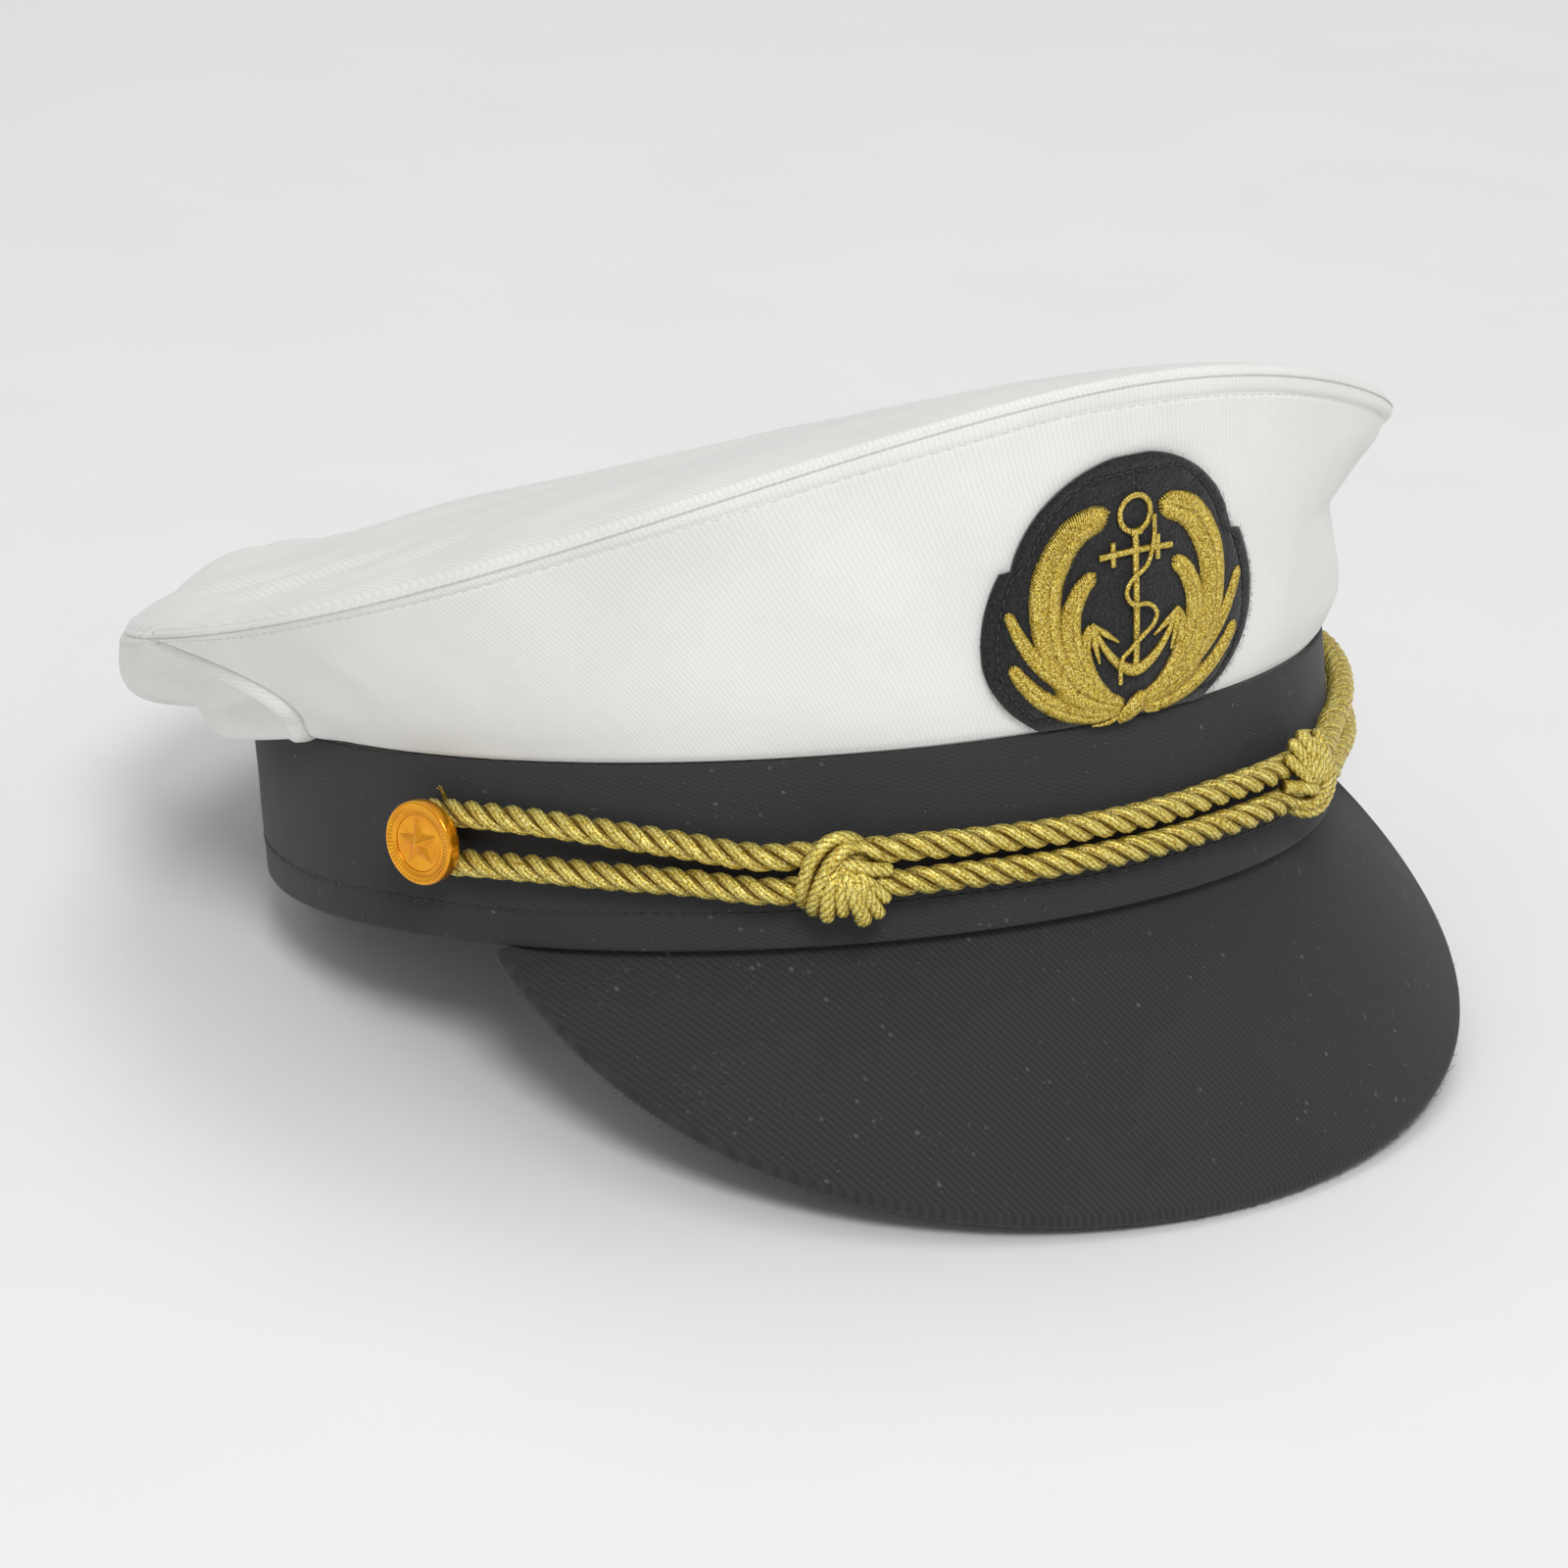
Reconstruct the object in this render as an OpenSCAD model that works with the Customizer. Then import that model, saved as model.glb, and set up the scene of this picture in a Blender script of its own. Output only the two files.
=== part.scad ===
// Peaked yacht cap: a soft twill crown on a stiff round band, with a sloping
// visor, a doubled gold chin cord with two sliding knots and two side buttons,
// and an embroidered anchor badge. Units are millimetres and degrees.
// Everything is drawn level with the band and then tipped back by rest_pose(),
// so that the cap rests on the visor's rim and on the back of the band.
// Angles run round the band from +X (0) over the back (90) to the front (270).

/* [Band] */
// Half width of the band from side to side
band_a = 93; // [90:0.5:97]
// Half length of the band from front to back
band_b = 98; // [95:0.5:102]
// How much wider the band grows towards the back
band_egg = 0.05; // [0.02:0.01:0.07]
// Height of the band
band_h = 31; // [28:1:34]

/* [Crown] */
// Half width of the top panel
crown_a = 112; // [108:1:116]
// Half length of the top panel
crown_b = 117; // [112:1:120]
// How far the top panel sits behind the band's centre
crown_back = 8; // [4:1:10]
// Mean height of the top seam above the band's lower edge
seam_mid = 58.8; // [56:0.2:62]
// Rise of the top seam from the middle to the front
seam_rise = 22.6; // [20:0.2:25]
// Sideways lean of the slumped crown
seam_lean = 3.5; // [0:0.5:6]
// Dip of the top seam at the front and back against the sides
seam_saddle = 3.2; // [2:0.2:4]
// Twist of the slumped seam across its diagonals
seam_twist = 1.6; // [0:0.2:3]
// Lift of the seam beside the front and the back
seam_ripple = 2.4; // [1:0.2:3]
// Height of the top panel's dome
crown_dome = 8; // [5:0.5:10]
// Angle of the side seams behind the exact sides
side_seam = 12; // [6:1:18]

/* [Visor] */
// Half width of the curve that the visor's rim follows
visor_w = 87; // [84:0.5:90]
// Half length of the curve that the visor's rim follows
visor_l = 77.8; // [74:0.2:82]
// Centre of that curve in front of the band's centre
visor_y = 47.2; // [44:0.2:50]
// Drop of the visor's rim below the band at the front
visor_drop = 45; // [40:1:48]
// Arch of the visor along its slope
visor_arch = 2.5; // [1:0.5:4]

/* [Badge] */
// Angle of the badge's middle round the crown
badge_angle = 268.6; // [267:0.2:273]
// Half width of the badge's lower lobes
badge_half = 29.5; // [27:0.5:31]
// Thickness of the felt backing
felt_t = 1.2; // [0.8:0.1:1.6]

/* [Chin cord] */
// Thickness of the twisted cord
cord_d = 4.6; // [4.2:0.1:4.8]
// Angle of the knot on the wearer's right
knot_right_angle = 237; // [234:1:240]
// Angle of the knot on the wearer's left
knot_left_angle = 293; // [290:1:296]
// Length of a knot along the cord
knot_len = 12; // [10:1:13]

/* [Buttons] */
// Angle of the button on the wearer's right
button_angle = 196; // [195:0.5:199]
// Angle of the button on the wearer's left
button_left_angle = 351; // [344:0.5:352]
// Height of the buttons above the band's lower edge
button_z = 18.5; // [17:0.5:20]
// Diameter of a button's face
button_d = 14.2; // [13.6:0.2:16]
// Thickness of a button's face
button_t = 3; // [2:0.5:4]

/* [Hidden] */

$fn = 48;
gap = 0.3;            // clearance between neighbouring pieces
fabric_t = 0.8;       // band, visor and lining cloth
crown_t = 1.0;        // crown twill with its fused backing
board_t = 1.2;        // band stiffener, visor board and front stay
around = 72;          // steps round the cap
step = 360 / around;

// Depths below the band's outer face, from outside to inside
stiffener_in = fabric_t + 0.15;
sweat_in = stiffener_in + board_t + 0.15;
sweat_t = 1.0;
band_total = sweat_in + sweat_t;

// Depths below the crown's outer face
stay_in = crown_t + 0.25;
lining_in = stay_in + board_t + 0.25;

// Visor layers
visor_t = 2 * fabric_t + board_t + 2 * 0.15;
visor_half = 68;      // half angle of the band that the visor spans
rim_half = 97.8;      // the same corner, seen from the rim curve's centre

// Resting pose: the rim of the visor and the back of the band touch the table
tip_y = visor_y + visor_l;
tilt = atan((visor_drop + 0.6 * visor_t) / (band_b + tip_y));
rest_z = band_b * sin(tilt);
rest_y = 0.2;

// Side panel and badge
anchor_scale = 0.94;  // the anchor's plan is drawn to fit a slightly larger badge
side_len = 56.5;       // height of the front panel measured along the cloth
side_end = 0.975;     // the side panels stop this far up to the top seam
deg_per_mm = 0.55;    // badge widths turned into angles round the crown

// Chin cord: [angle, height of the strand's centre, distance of it from the band]
cord_lift = 2.7;      // free stretches
knot_lift = 4.1;      // where a knot wraps behind the strands
knot_z = 13.4;        // height of both strands' middle at the knots
strand = 2.8;         // half the distance between the two strands
turn_r = 4.1;         // radius of the loop round a button's shank
post_d = 2;           // the button's shank, inside that loop
eye_d = 1.2;          // hole through the shank
thread_d = 0.5;       // sewing thread
thread_r = 1.4;       // half the distance between the thread's two legs
eye_z = 2.4;          // height of the eye above the band
low_z = knot_z - strand;
high_z = knot_z + strand;

CORD_RIGHT = [[knot_right_angle, low_z, knot_lift], [233.5, low_z, knot_lift],
              [230, low_z, knot_lift], [226.5, 11.2, 3.4], [223, 12, cord_lift],
              [218, 12.8, cord_lift], [213, 13.4, cord_lift], [208, 14, cord_lift],
              [203, 14.3, cord_lift], [199.5, 14.4, cord_lift]];
CORD_RIGHT_BACK = [[199.5, 22.6, cord_lift], [203, 22.4, cord_lift], [208, 21.8, cord_lift],
              [213, 20.8, cord_lift], [218, 19.5, cord_lift], [223, 18, cord_lift],
              [226.5, 16.9, 3.4], [230, high_z, knot_lift], [233.5, high_z, knot_lift],
              [237, high_z, knot_lift], [240.5, high_z, knot_lift], [244, high_z, knot_lift],
              [247.5, 15.9, 3.4], [251, 15.6, cord_lift], [257, 15.3, cord_lift],
              [263, 15.1, cord_lift], [269, 15.1, cord_lift], [275, 15.3, cord_lift],
              [279, 15.6, cord_lift], [282.5, 15.9, 3.4], [286, high_z, knot_lift],
              [289.5, high_z, knot_lift], [knot_left_angle, high_z, knot_lift]];
CORD_LEFT = [[knot_left_angle, high_z, knot_lift], [296.5, high_z, knot_lift],
              [300, high_z, knot_lift], [303.5, 16.9, 3.4], [307, 17.6, cord_lift],
              [312, 18.6, cord_lift], [318, 19.8, cord_lift], [325, 21, cord_lift],
              [332, 22, cord_lift], [338, 22.5, cord_lift], [343, 22.6, cord_lift],
              [348, 22.6, cord_lift]];
CORD_LEFT_BACK = [[348, 14.4, cord_lift], [343, 14.4, cord_lift], [338, 14.3, cord_lift],
              [332, 14, cord_lift],
              [325, 13.3, cord_lift], [318, 12.6, cord_lift], [312, 12.2, cord_lift],
              [307, 11.8, cord_lift], [303.5, 11.3, 3.4], [300, low_z, knot_lift],
              [296.5, low_z, knot_lift], [293, low_z, knot_lift], [289.5, low_z, knot_lift],
              [286, low_z, knot_lift], [282.5, 10.3, 3.4], [279, 10.1, cord_lift],
              [275, 10, cord_lift], [269, 9.9, cord_lift], [263, 9.9, cord_lift],
              [257, 10, cord_lift], [251, 10.2, cord_lift], [247.5, 10.4, 3.4],
              [244, low_z, knot_lift], [240.5, low_z, knot_lift],
              [knot_right_angle, low_z, knot_lift]];

// Embroidery, in millimetres across and up the badge: spine points and widths
LEAVES = [[[[5, 38], [12, 35.2], [16.4, 29], [17.6, 22], [16.4, 14.6], [11.5, 7.6], [4, 3.8]],
           [1.2, 4, 5, 4.8, 4.2, 3.4, 2.2]],
          [[[8, 28.2], [11, 25], [12.6, 20.5], [12.2, 15.6], [9.6, 10.4]],
           [1, 2.2, 2.8, 2.8, 1]],
          [[[24.4, 24.3], [22.8, 19.3], [20.6, 14.8], [16.4, 9.8]],
           [1, 2.2, 2.4, 1]],
          [[[24.6, 14.4], [22.6, 10.2], [18.6, 6.3], [13, 3.2], [7, 1.6]],
           [1, 2, 2.4, 2.2, 1]]];
ROPE_LINE = [[3.2, 36.6], [3.2, 32.8], [1.9, 28.4], [-1.5, 26], [-2.5, 23.8], [-1.2, 21.8],
             [2, 21.4], [3.7, 19.7], [3, 17.7], [0.8, 16], [-1.9, 13.9], [-3.7, 12], [-3.7, 8]];

// ---------- vectors and interpolation ----------
function unit(v) = v / norm(v);
function mix(a, b, w) = a + (b - a) * w;
function up3(p, z) = [p[0], p[1], z];

// ---------- band outline ----------
function band_slope(p) =
    [band_a * (-sin(p) * (1 + band_egg * sin(p)) + band_egg * cos(p) * cos(p)),
     band_b * cos(p)];
function band_out(p) = let (s = band_slope(p)) [s[1], -s[0]] / norm(s);
function band_xy(p, d = 0) =
    [band_a * cos(p) * (1 + band_egg * sin(p)), band_b * sin(p)] + d * band_out(p);
function band_turn(p) = let (n = band_out(p)) atan2(n[1], n[0]);
// Radius at which a line d outside the band bends at angle p
function bend_radius(p, d) =
    let (a = band_out(p - 1), b = band_out(p + 1),
         turn = acos(a * b))
    norm(band_xy(p + 1, d) - band_xy(p - 1, d)) / (2 * sin(turn / 2));

// ---------- crown surfaces ----------
function seam_height(p, r = 1) =
    seam_mid + r * (seam_lean * cos(p) - seam_rise * sin(p))
    + r * r * (seam_twist * sin(2 * p) - seam_saddle * cos(2 * p))
    + r * r * r * seam_ripple * sin(3 * p);
function top_point(p, r, lift) =
    [crown_a * r * cos(p), crown_b * r * sin(p) + crown_back,
     seam_height(p, r) + crown_dome * (1 - r * r * r) + lift];
function seam_point(p) = top_point(p, 1, 0);
function bezier(a, b, c, d, t) =
    a * pow(1 - t, 3) + b * 3 * t * pow(1 - t, 2) + c * 3 * t * t * (1 - t) + d * pow(t, 3);
// How much the side panel slumps at angle p: none in front of the side seams,
// full at the back
function slump(p) = let (w = min(max((sin(p) - 0.1) / 0.45, 0), 1)) w * w * (3 - 2 * w);
// Side panel from the band (t = 0) to the top seam (t = 1): it waists at the
// front, and at the back it runs out level and turns up round a full roll
function side_face(p, t) =
    let (foot = up3(band_xy(p, -0.2), band_h + 0.3), head = seam_point(p),
         rise = head[2] - foot[2], back = slump(p),
         out = up3(band_out(p), 0), up = [0, 0, 1],
         low = foot + out * mix(7, 15, back) + up * mix(0.3 * rise, 1.2, back),
         high = head + out * mix(-9, 4, back) - up * mix(0.4 * rise, 17, back))
    bezier(foot, low, high, head, t);
function side_out(p, t) =
    unit(cross(side_face(p + 0.5, t) - side_face(p - 0.5, t),
               side_face(p, t + 0.01) - side_face(p, t - 0.01)));
function side_point(p, t, d = 0) = side_face(p, t) + d * side_out(p, t);

// ---------- visor surface: u from corner to corner, v from band to rim ----------
function rim_point(u) =
    let (a = u * rim_half, w = 1 - u * u)
    [visor_w * sin(a), -visor_y - visor_l * cos(a),
     -visor_drop * (pow(max(w, 0), 1.33) + 0.41 * u * u * w)];
function visor_face(u, v) =
    let (root = up3(band_xy(270 + u * visor_half, -band_total), -gap))
    mix(root, rim_point(u), v) + [0, 0, 4 * visor_arch * v * (1 - v) * (1 - u * u)];
function visor_up(u, v) =
    let (a = min(max(u, -0.97), 0.97), b = min(max(v, 0.05), 0.98))
    unit(cross(visor_face(a + 0.02, b) - visor_face(a - 0.02, b),
               visor_face(a, b - 0.02) - visor_face(a, b + 0.02)));
function visor_point(u, v, depth) = visor_face(u, v) - depth * visor_up(u, v);

// ---------- badge surface: x across, y up, d out of the crown ----------
function badge_point(x, y, d) =
    side_point(badge_angle + x * deg_per_mm, y / side_len, d);

// ---------- solids from grids ----------
// Two matching grids of points, outer[i][j] and inner[i][j], joined into a
// closed shell; loop = true joins the last row to the first
module shell(outer, inner, loop = false, flip = false) {
    rows = len(outer);
    cols = len(outer[0]);
    half = rows * cols;
    spans = loop ? rows : rows - 1;
    function at(i, j) = (i % rows) * cols + j;
    faces = [
        for (i = [0:spans - 1], j = [0:cols - 2])
            let (a = at(i, j), b = at(i + 1, j), c = at(i + 1, j + 1), d = at(i, j + 1))
            each [[a, c, b], [a, d, c], [half + a, half + b, half + c],
                  [half + a, half + c, half + d]],
        for (i = [0:spans - 1])
            let (a = at(i, 0), b = at(i + 1, 0), c = at(i, cols - 1), d = at(i + 1, cols - 1))
            each [[a, b, half + b], [a, half + b, half + a],
                  [c, half + d, d], [c, half + c, half + d]],
        if (!loop) for (j = [0:cols - 2])
            let (a = at(0, j), b = at(0, j + 1), c = at(rows - 1, j), d = at(rows - 1, j + 1))
            each [[b, a, half + a], [b, half + a, half + b],
                  [c, d, half + d], [c, half + d, half + c]]];
    polyhedron([for (row = outer) each row, for (row = inner) each row],
               flip ? [for (f = faces) [f[0], f[2], f[1]]] : faces, convexity = 6);
}

// A closed dish from rings that shrink towards a middle point
module dish(outer, inner, outer_mid, inner_mid) {
    rings = len(outer);
    cols = len(outer[0]);
    half = rings * cols;
    function at(k, i) = k * cols + i % cols;
    last = rings - 1;
    faces = [
        for (k = [0:rings - 2], i = [0:cols - 1])
            let (a = at(k, i), b = at(k, i + 1), c = at(k + 1, i + 1), d = at(k + 1, i))
            each [[a, c, b], [a, d, c], [half + a, half + b, half + c],
                  [half + a, half + c, half + d]],
        for (i = [0:cols - 1])
            let (a = at(0, i), b = at(0, i + 1), c = at(last, i), d = at(last, i + 1))
            each [[a, b, half + b], [a, half + b, half + a],
                  [c, 2 * half, d], [half + c, half + d, 2 * half + 1]]];
    polyhedron([for (ring = outer) each ring, for (ring = inner) each ring,
                outer_mid, inner_mid], faces, convexity = 4);
}

// A rod swept along points; sides[k] is the direction across it at point k
module rod(points, across, wide, high, n) {
    last = len(points) - 1;
    function ahead(k) = unit(points[min(k + 1, last)] - points[max(k - 1, 0)]);
    rings = [for (k = [0:last])
        let (out = unit(across[k] - (across[k] * ahead(k)) * ahead(k)),
             beside = cross(ahead(k), out))
        [for (i = [0:n - 1]) points[k] + high[k] * cos(i * 360 / n) * out
                                       + wide[k] * sin(i * 360 / n) * beside]];
    faces = [
        for (k = [0:last - 1], i = [0:n - 1])
            let (a = k * n + i, b = k * n + (i + 1) % n)
            each [[a, b, b + n], [a, b + n, a + n]],
        [for (i = [n - 1:-1:0]) i],
        [for (i = [0:n - 1]) last * n + i]];
    polyhedron([for (ring = rings) each ring], faces, convexity = 6);
}

// ---------- placing ----------
module rest_pose() {
    translate([0, rest_y, rest_z]) rotate([-tilt, 0, 0]) children();
}

// Local Z points out of the band, local Y points up it
module on_band(p, z, d) {
    translate(up3(band_xy(p, d), z)) rotate([0, 0, band_turn(p)]) rotate([90, 0, 90]) children();
}

module band_ring(outside, inside, bottom, top) {
    angles = [0:step:360 - step];
    shell([for (p = angles) [for (z = [bottom, top]) up3(band_xy(p, -outside), z)]],
          [for (p = angles) [for (z = [bottom, top]) up3(band_xy(p, -inside), z)]],
          loop = true);
}

module side_panel(from, to, outside, inside, low, high, steps = 12) {
    count = ceil((to - from) / step);
    angles = [for (i = [0:count]) from + (to - from) * i / count];
    heights = [for (j = [0:steps]) mix(low, high, j / steps)];
    loop = to - from >= 360;
    used = loop ? [for (i = [0:count - 1]) angles[i]] : angles;
    shell([for (p = used) [for (t = heights) side_point(p, t, -outside)]],
          [for (p = used) [for (t = heights) side_point(p, t, -inside)]], loop);
}

module top_dish(radius, outside, inside) {
    radii = [for (r = [1, 0.97, 0.85, 0.65, 0.4, 0.15]) r * radius];
    angles = [for (i = [0:around - 1]) i * step];
    dish([for (r = radii) [for (p = angles) top_point(p, r, outside)]],
         [for (r = radii) [for (p = angles) top_point(p, r, inside)]],
         top_point(0, 0, outside), top_point(0, 0, inside));
}

module visor_layer(from, to, edge) {
    across = 36;
    out = 7;
    shell([for (i = [0:across]) [for (j = [0:out])
              visor_point(mix(-1, 1, i / across) * edge, (j / out) * edge, from)]],
          [for (i = [0:across]) [for (j = [0:out])
              visor_point(mix(-1, 1, i / across) * edge, (j / out) * edge, to)]],
          flip = true);
}

// ---------- band ----------
module band_cover() {
    color("#37373a") rest_pose() band_ring(0, fabric_t, 0, band_h);
}

module band_stiffener() {
    color("#d8d6cf") rest_pose()
        band_ring(stiffener_in, stiffener_in + board_t, gap, band_h - gap);
}

module sweatband() {
    color("#2b2826") rest_pose()
        band_ring(sweat_in, band_total, gap, band_h - gap);
}

// ---------- crown ----------
module crown_front_panel() {
    color("#e8e9e4") rest_pose()
        side_panel(180 - side_seam, 360 + side_seam, 0, crown_t, 0, side_end);
}

module crown_back_panel() {
    color("#e4e5e0") rest_pose()
        side_panel(side_seam + 0.2, 180 - side_seam - 0.2, 0, crown_t, 0, side_end);
}

module crown_top() {
    color("#eeefea") rest_pose() top_dish(1, crown_t + gap, gap);
}

module front_stay() {
    color("#c9c7bd") rest_pose()
        side_panel(225, 315, stay_in, stay_in + board_t, 0.08, 0.9, 6);
}

module lining_side() {
    color("#f4f4f1") rest_pose()
        side_panel(0, 360, lining_in, lining_in + fabric_t, 0.1, 0.87, 8);
}

module lining_top() {
    color("#f4f4f1") rest_pose() top_dish(0.94, -lining_in, -lining_in - fabric_t);
}

// ---------- visor ----------
module visor_top_cover() {
    color("#3a3a3d") rest_pose() visor_layer(0, fabric_t, 1);
}

module visor_board() {
    color("#bdbab0") rest_pose()
        visor_layer(fabric_t + 0.15, fabric_t + 0.15 + board_t, 0.97);
}

module visor_under_cover() {
    color("#3a3a3d") rest_pose()
        visor_layer(visor_t - fabric_t, visor_t, 1);
}

// ---------- badge ----------
// Half width of the backing at height y: round lobes below, a dome above them
function badge_edge(y) =
    y < 31.2 ? badge_half * sqrt(1 - pow((y - 16) / (y < 16 ? 20 : 27.5), 2))
             : 23.4 * sqrt(max(1 - pow((y - 26) / 20.2, 2), 0.002));

module badge_backing() {
    heights = [0.6, 2.2, 4.5, 8, 12, 16, 21, 26, 31.1, 31.3, 35, 39, 42.5, 44.8, 46];
    cols = 12;
    color("#26262a") rest_pose()
        shell([for (k = [0:cols]) [for (y = heights)
                  badge_point(mix(-1, 1, k / cols) * badge_edge(y), y, felt_t + 0.2)]],
              [for (k = [0:cols]) [for (y = heights)
                  badge_point(mix(-1, 1, k / cols) * badge_edge(y), y, 0.2)]]);
}

// One embroidered bar along a line of badge points
module stitch_bar(line, widths, lift, high) {
    rod([for (q = line) badge_point(q[0], q[1], lift)],
        [for (q = line) badge_point(q[0], q[1], lift + 1) - badge_point(q[0], q[1], lift)],
        widths / 2, [for (q = line) high / 2], 8);
}

module wreath(hand) {
    for (leaf = LEAVES)
        stitch_bar([for (q = leaf[0]) [hand * q[0], q[1]]], leaf[1], felt_t + 1.1, 1.4);
}

module badge_wreath_right() {
    color("#c9a83c") rest_pose() wreath(-1);
}

module badge_wreath_left() {
    color("#c9a83c") rest_pose() wreath(1);
}

// A straight bar of the anchor between two badge points
module anchor_bar(a, b, w) {
    way = b - a;
    translate(a) rotate(atan2(way[1], way[0])) translate([0, -w / 2]) square([norm(way), w]);
}

module anchor_plan() {
    anchor_bar([0, 10], [0, 34.6], 1.2);
    anchor_bar([-7.2, 30.8], [7.2, 30.8], 1.1);
    translate([0, 36.8]) difference() {
        circle(d = 6.4);
        circle(d = 4.6);
    }
    difference() {
        translate([0, 20.4]) circle(d = 22.4);
        translate([0, 21.6]) circle(d = 20.6);
        translate([-12, 17.6]) square([24, 20]);
    }
    for (hand = [-1, 1]) {
        anchor_bar([hand * 4.4, 28.9], [hand * 4.4, 32.7], 1.1);
        polygon([[hand * 10.8, 20], [hand * 9.8, 14], [hand * 6.4, 17.4]]);
    }
}

module badge_anchor() {
    middle = badge_point(0, 23, felt_t + 0.9);
    right = unit(badge_point(4, 23, 0) - badge_point(-4, 23, 0));
    rough = badge_point(0, 36, 0) - badge_point(0, 10, 0);
    up = unit(rough - (rough * right) * right);
    out = cross(right, up);
    color("#c9a83c") rest_pose()
        multmatrix([for (i = [0:2]) [right[i], up[i], out[i], middle[i]]])
            linear_extrude(0.9) scale(anchor_scale) translate([0, -23]) anchor_plan();
}

module badge_rope() {
    color("#bd9a33") rest_pose()
        stitch_bar(ROPE_LINE, [for (q = ROPE_LINE) 0.8], felt_t + 3, 0.9);
}

module badge_tie() {
    color("#bd9a33") rest_pose()
        stitch_bar([[-2.2, 1.6], [-1, 2.4], [1, 3.4], [2.2, 4.2]], [2, 3.2, 3.2, 2],
                   felt_t + 2.8, 1.4);
}

// ---------- chin cord ----------
// Points of one cord: out along one strand, round the shank, back along the other
function shank_turn(p, hand) =
    [for (a = [-90:30:90])
        [p - hand * turn_r * cos(a) * 0.573, button_z + hand * turn_r * sin(a), cord_lift]];
function cord_points(route) = [for (s = route) up3(band_xy(s[0], s[2]), s[1])];
function cord_sides(route) = [for (s = route) up3(band_out(s[0]), 0)];

module chin_cord(route) {
    size = [for (s = route) cord_d / 2];
    color("#c6a63d") rest_pose() rod(cord_points(route), cord_sides(route), size, size, 10);
}

module chin_cord_right() {
    chin_cord(concat(CORD_RIGHT, shank_turn(button_angle, 1), CORD_RIGHT_BACK));
}

module chin_cord_left() {
    chin_cord(concat(CORD_LEFT, shank_turn(button_left_angle, -1), CORD_LEFT_BACK));
}

// A knot is a sleeve bent round the band with a hole for each strand; its three
// tails point down (hand 1) or up (hand -1)
module knot(p, hand) {
    radius = bend_radius(p, knot_lift);
    span = knot_len / radius * 180 / PI;
    hole = cord_d + 0.7;
    middle = up3(band_xy(p, knot_lift - radius), knot_z);
    color("#c6a63d") rest_pose() translate(middle) rotate([0, 0, band_turn(p)]) {
        rotate([0, 0, -span / 2]) rotate_extrude(angle = span, $fn = 96) difference() {
            translate([radius, 0]) polygon([
                [-3.6, -5], [-2.2, -6.8], [2.4, -6.8], [4.4, -4.6],
                [4.4, 4.6], [2.4, 6.8], [-2.2, 6.8], [-3.6, 5]]);
            for (side = [-1, 1])
                translate([radius, side * strand]) circle(d = hole);
        }
        for (k = [-1:1])
            translate([radius + 0.8, hand * 0.8 + k * 3.2, hand > 0 ? -10.2 : 6.3])
                cylinder(d = 2.6, h = 3.9);
    }
}

module knot_right() {
    knot(knot_right_angle, 1);
}

module knot_left() {
    knot(knot_left_angle, -1);
}

// ---------- buttons ----------
// A shank button: a flat face with a raised star, and a pierced post behind it
module button_piece(p) {
    face_z = cord_lift + cord_d / 2 + 0.4;
    color("#d58a1c") rest_pose() on_band(p, button_z, 0) {
        difference() {
            translate([0, 0, 0.8]) cylinder(d = post_d, h = face_z - 0.7);
            translate([0, 5, eye_z]) rotate([90, 0, 0]) cylinder(d = eye_d, h = 10);
        }
        difference() {
            translate([0, 0, face_z]) cylinder(d = button_d, h = button_t);
            translate([0, 0, face_z + button_t - 0.5]) cylinder(d = button_d - 3, h = 1);
        }
        translate([0, 0, face_z + button_t - 0.7]) linear_extrude(0.6) star(4.4, 1.8);
    }
}

module star(outer, inner) {
    polygon([for (k = [0:9]) (k % 2 == 0 ? outer : inner) * [sin(36 * k), cos(36 * k)]]);
}

// The sewing thread: a loop through the post's eye, with both ends in the band
module button_thread(p) {
    color("#b98a2a") rest_pose() on_band(p, button_z, 0) {
        translate([0, thread_r + thread_d / 2, eye_z]) rotate([90, 0, 0])
            cylinder(d = thread_d, h = 2 * thread_r + thread_d);
        for (side = [-1, 1])
            translate([0, side * thread_r, 0.1]) cylinder(d = thread_d, h = eye_z);
    }
}

module button_right() {
    button_piece(button_angle);
}

module button_left() {
    button_piece(button_left_angle);
}

module button_thread_right() {
    button_thread(button_angle);
}

module button_thread_left() {
    button_thread(button_left_angle);
}

band_cover();
band_stiffener();
sweatband();
crown_front_panel();
crown_back_panel();
crown_top();
front_stay();
lining_side();
lining_top();
visor_top_cover();
visor_board();
visor_under_cover();
badge_backing();
badge_wreath_right();
badge_wreath_left();
badge_anchor();
badge_rope();
badge_tie();
chin_cord_right();
chin_cord_left();
knot_right();
knot_left();
button_right();
button_left();
button_thread_right();
button_thread_left();
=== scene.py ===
"""Peaked yacht cap: cloth, twisted cord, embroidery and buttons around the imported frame.

Lengths are millimetres in the band's own level pose, where +Z is up the band, -Y points
to the visor and angles run round from +X (0) over the back (90) to the front (270).
rest() tips a point back into the resting pose and turns it into metres.
"""
import math
import random

import bmesh
import bpy
from mathutils import Matrix, Vector, noise


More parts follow.
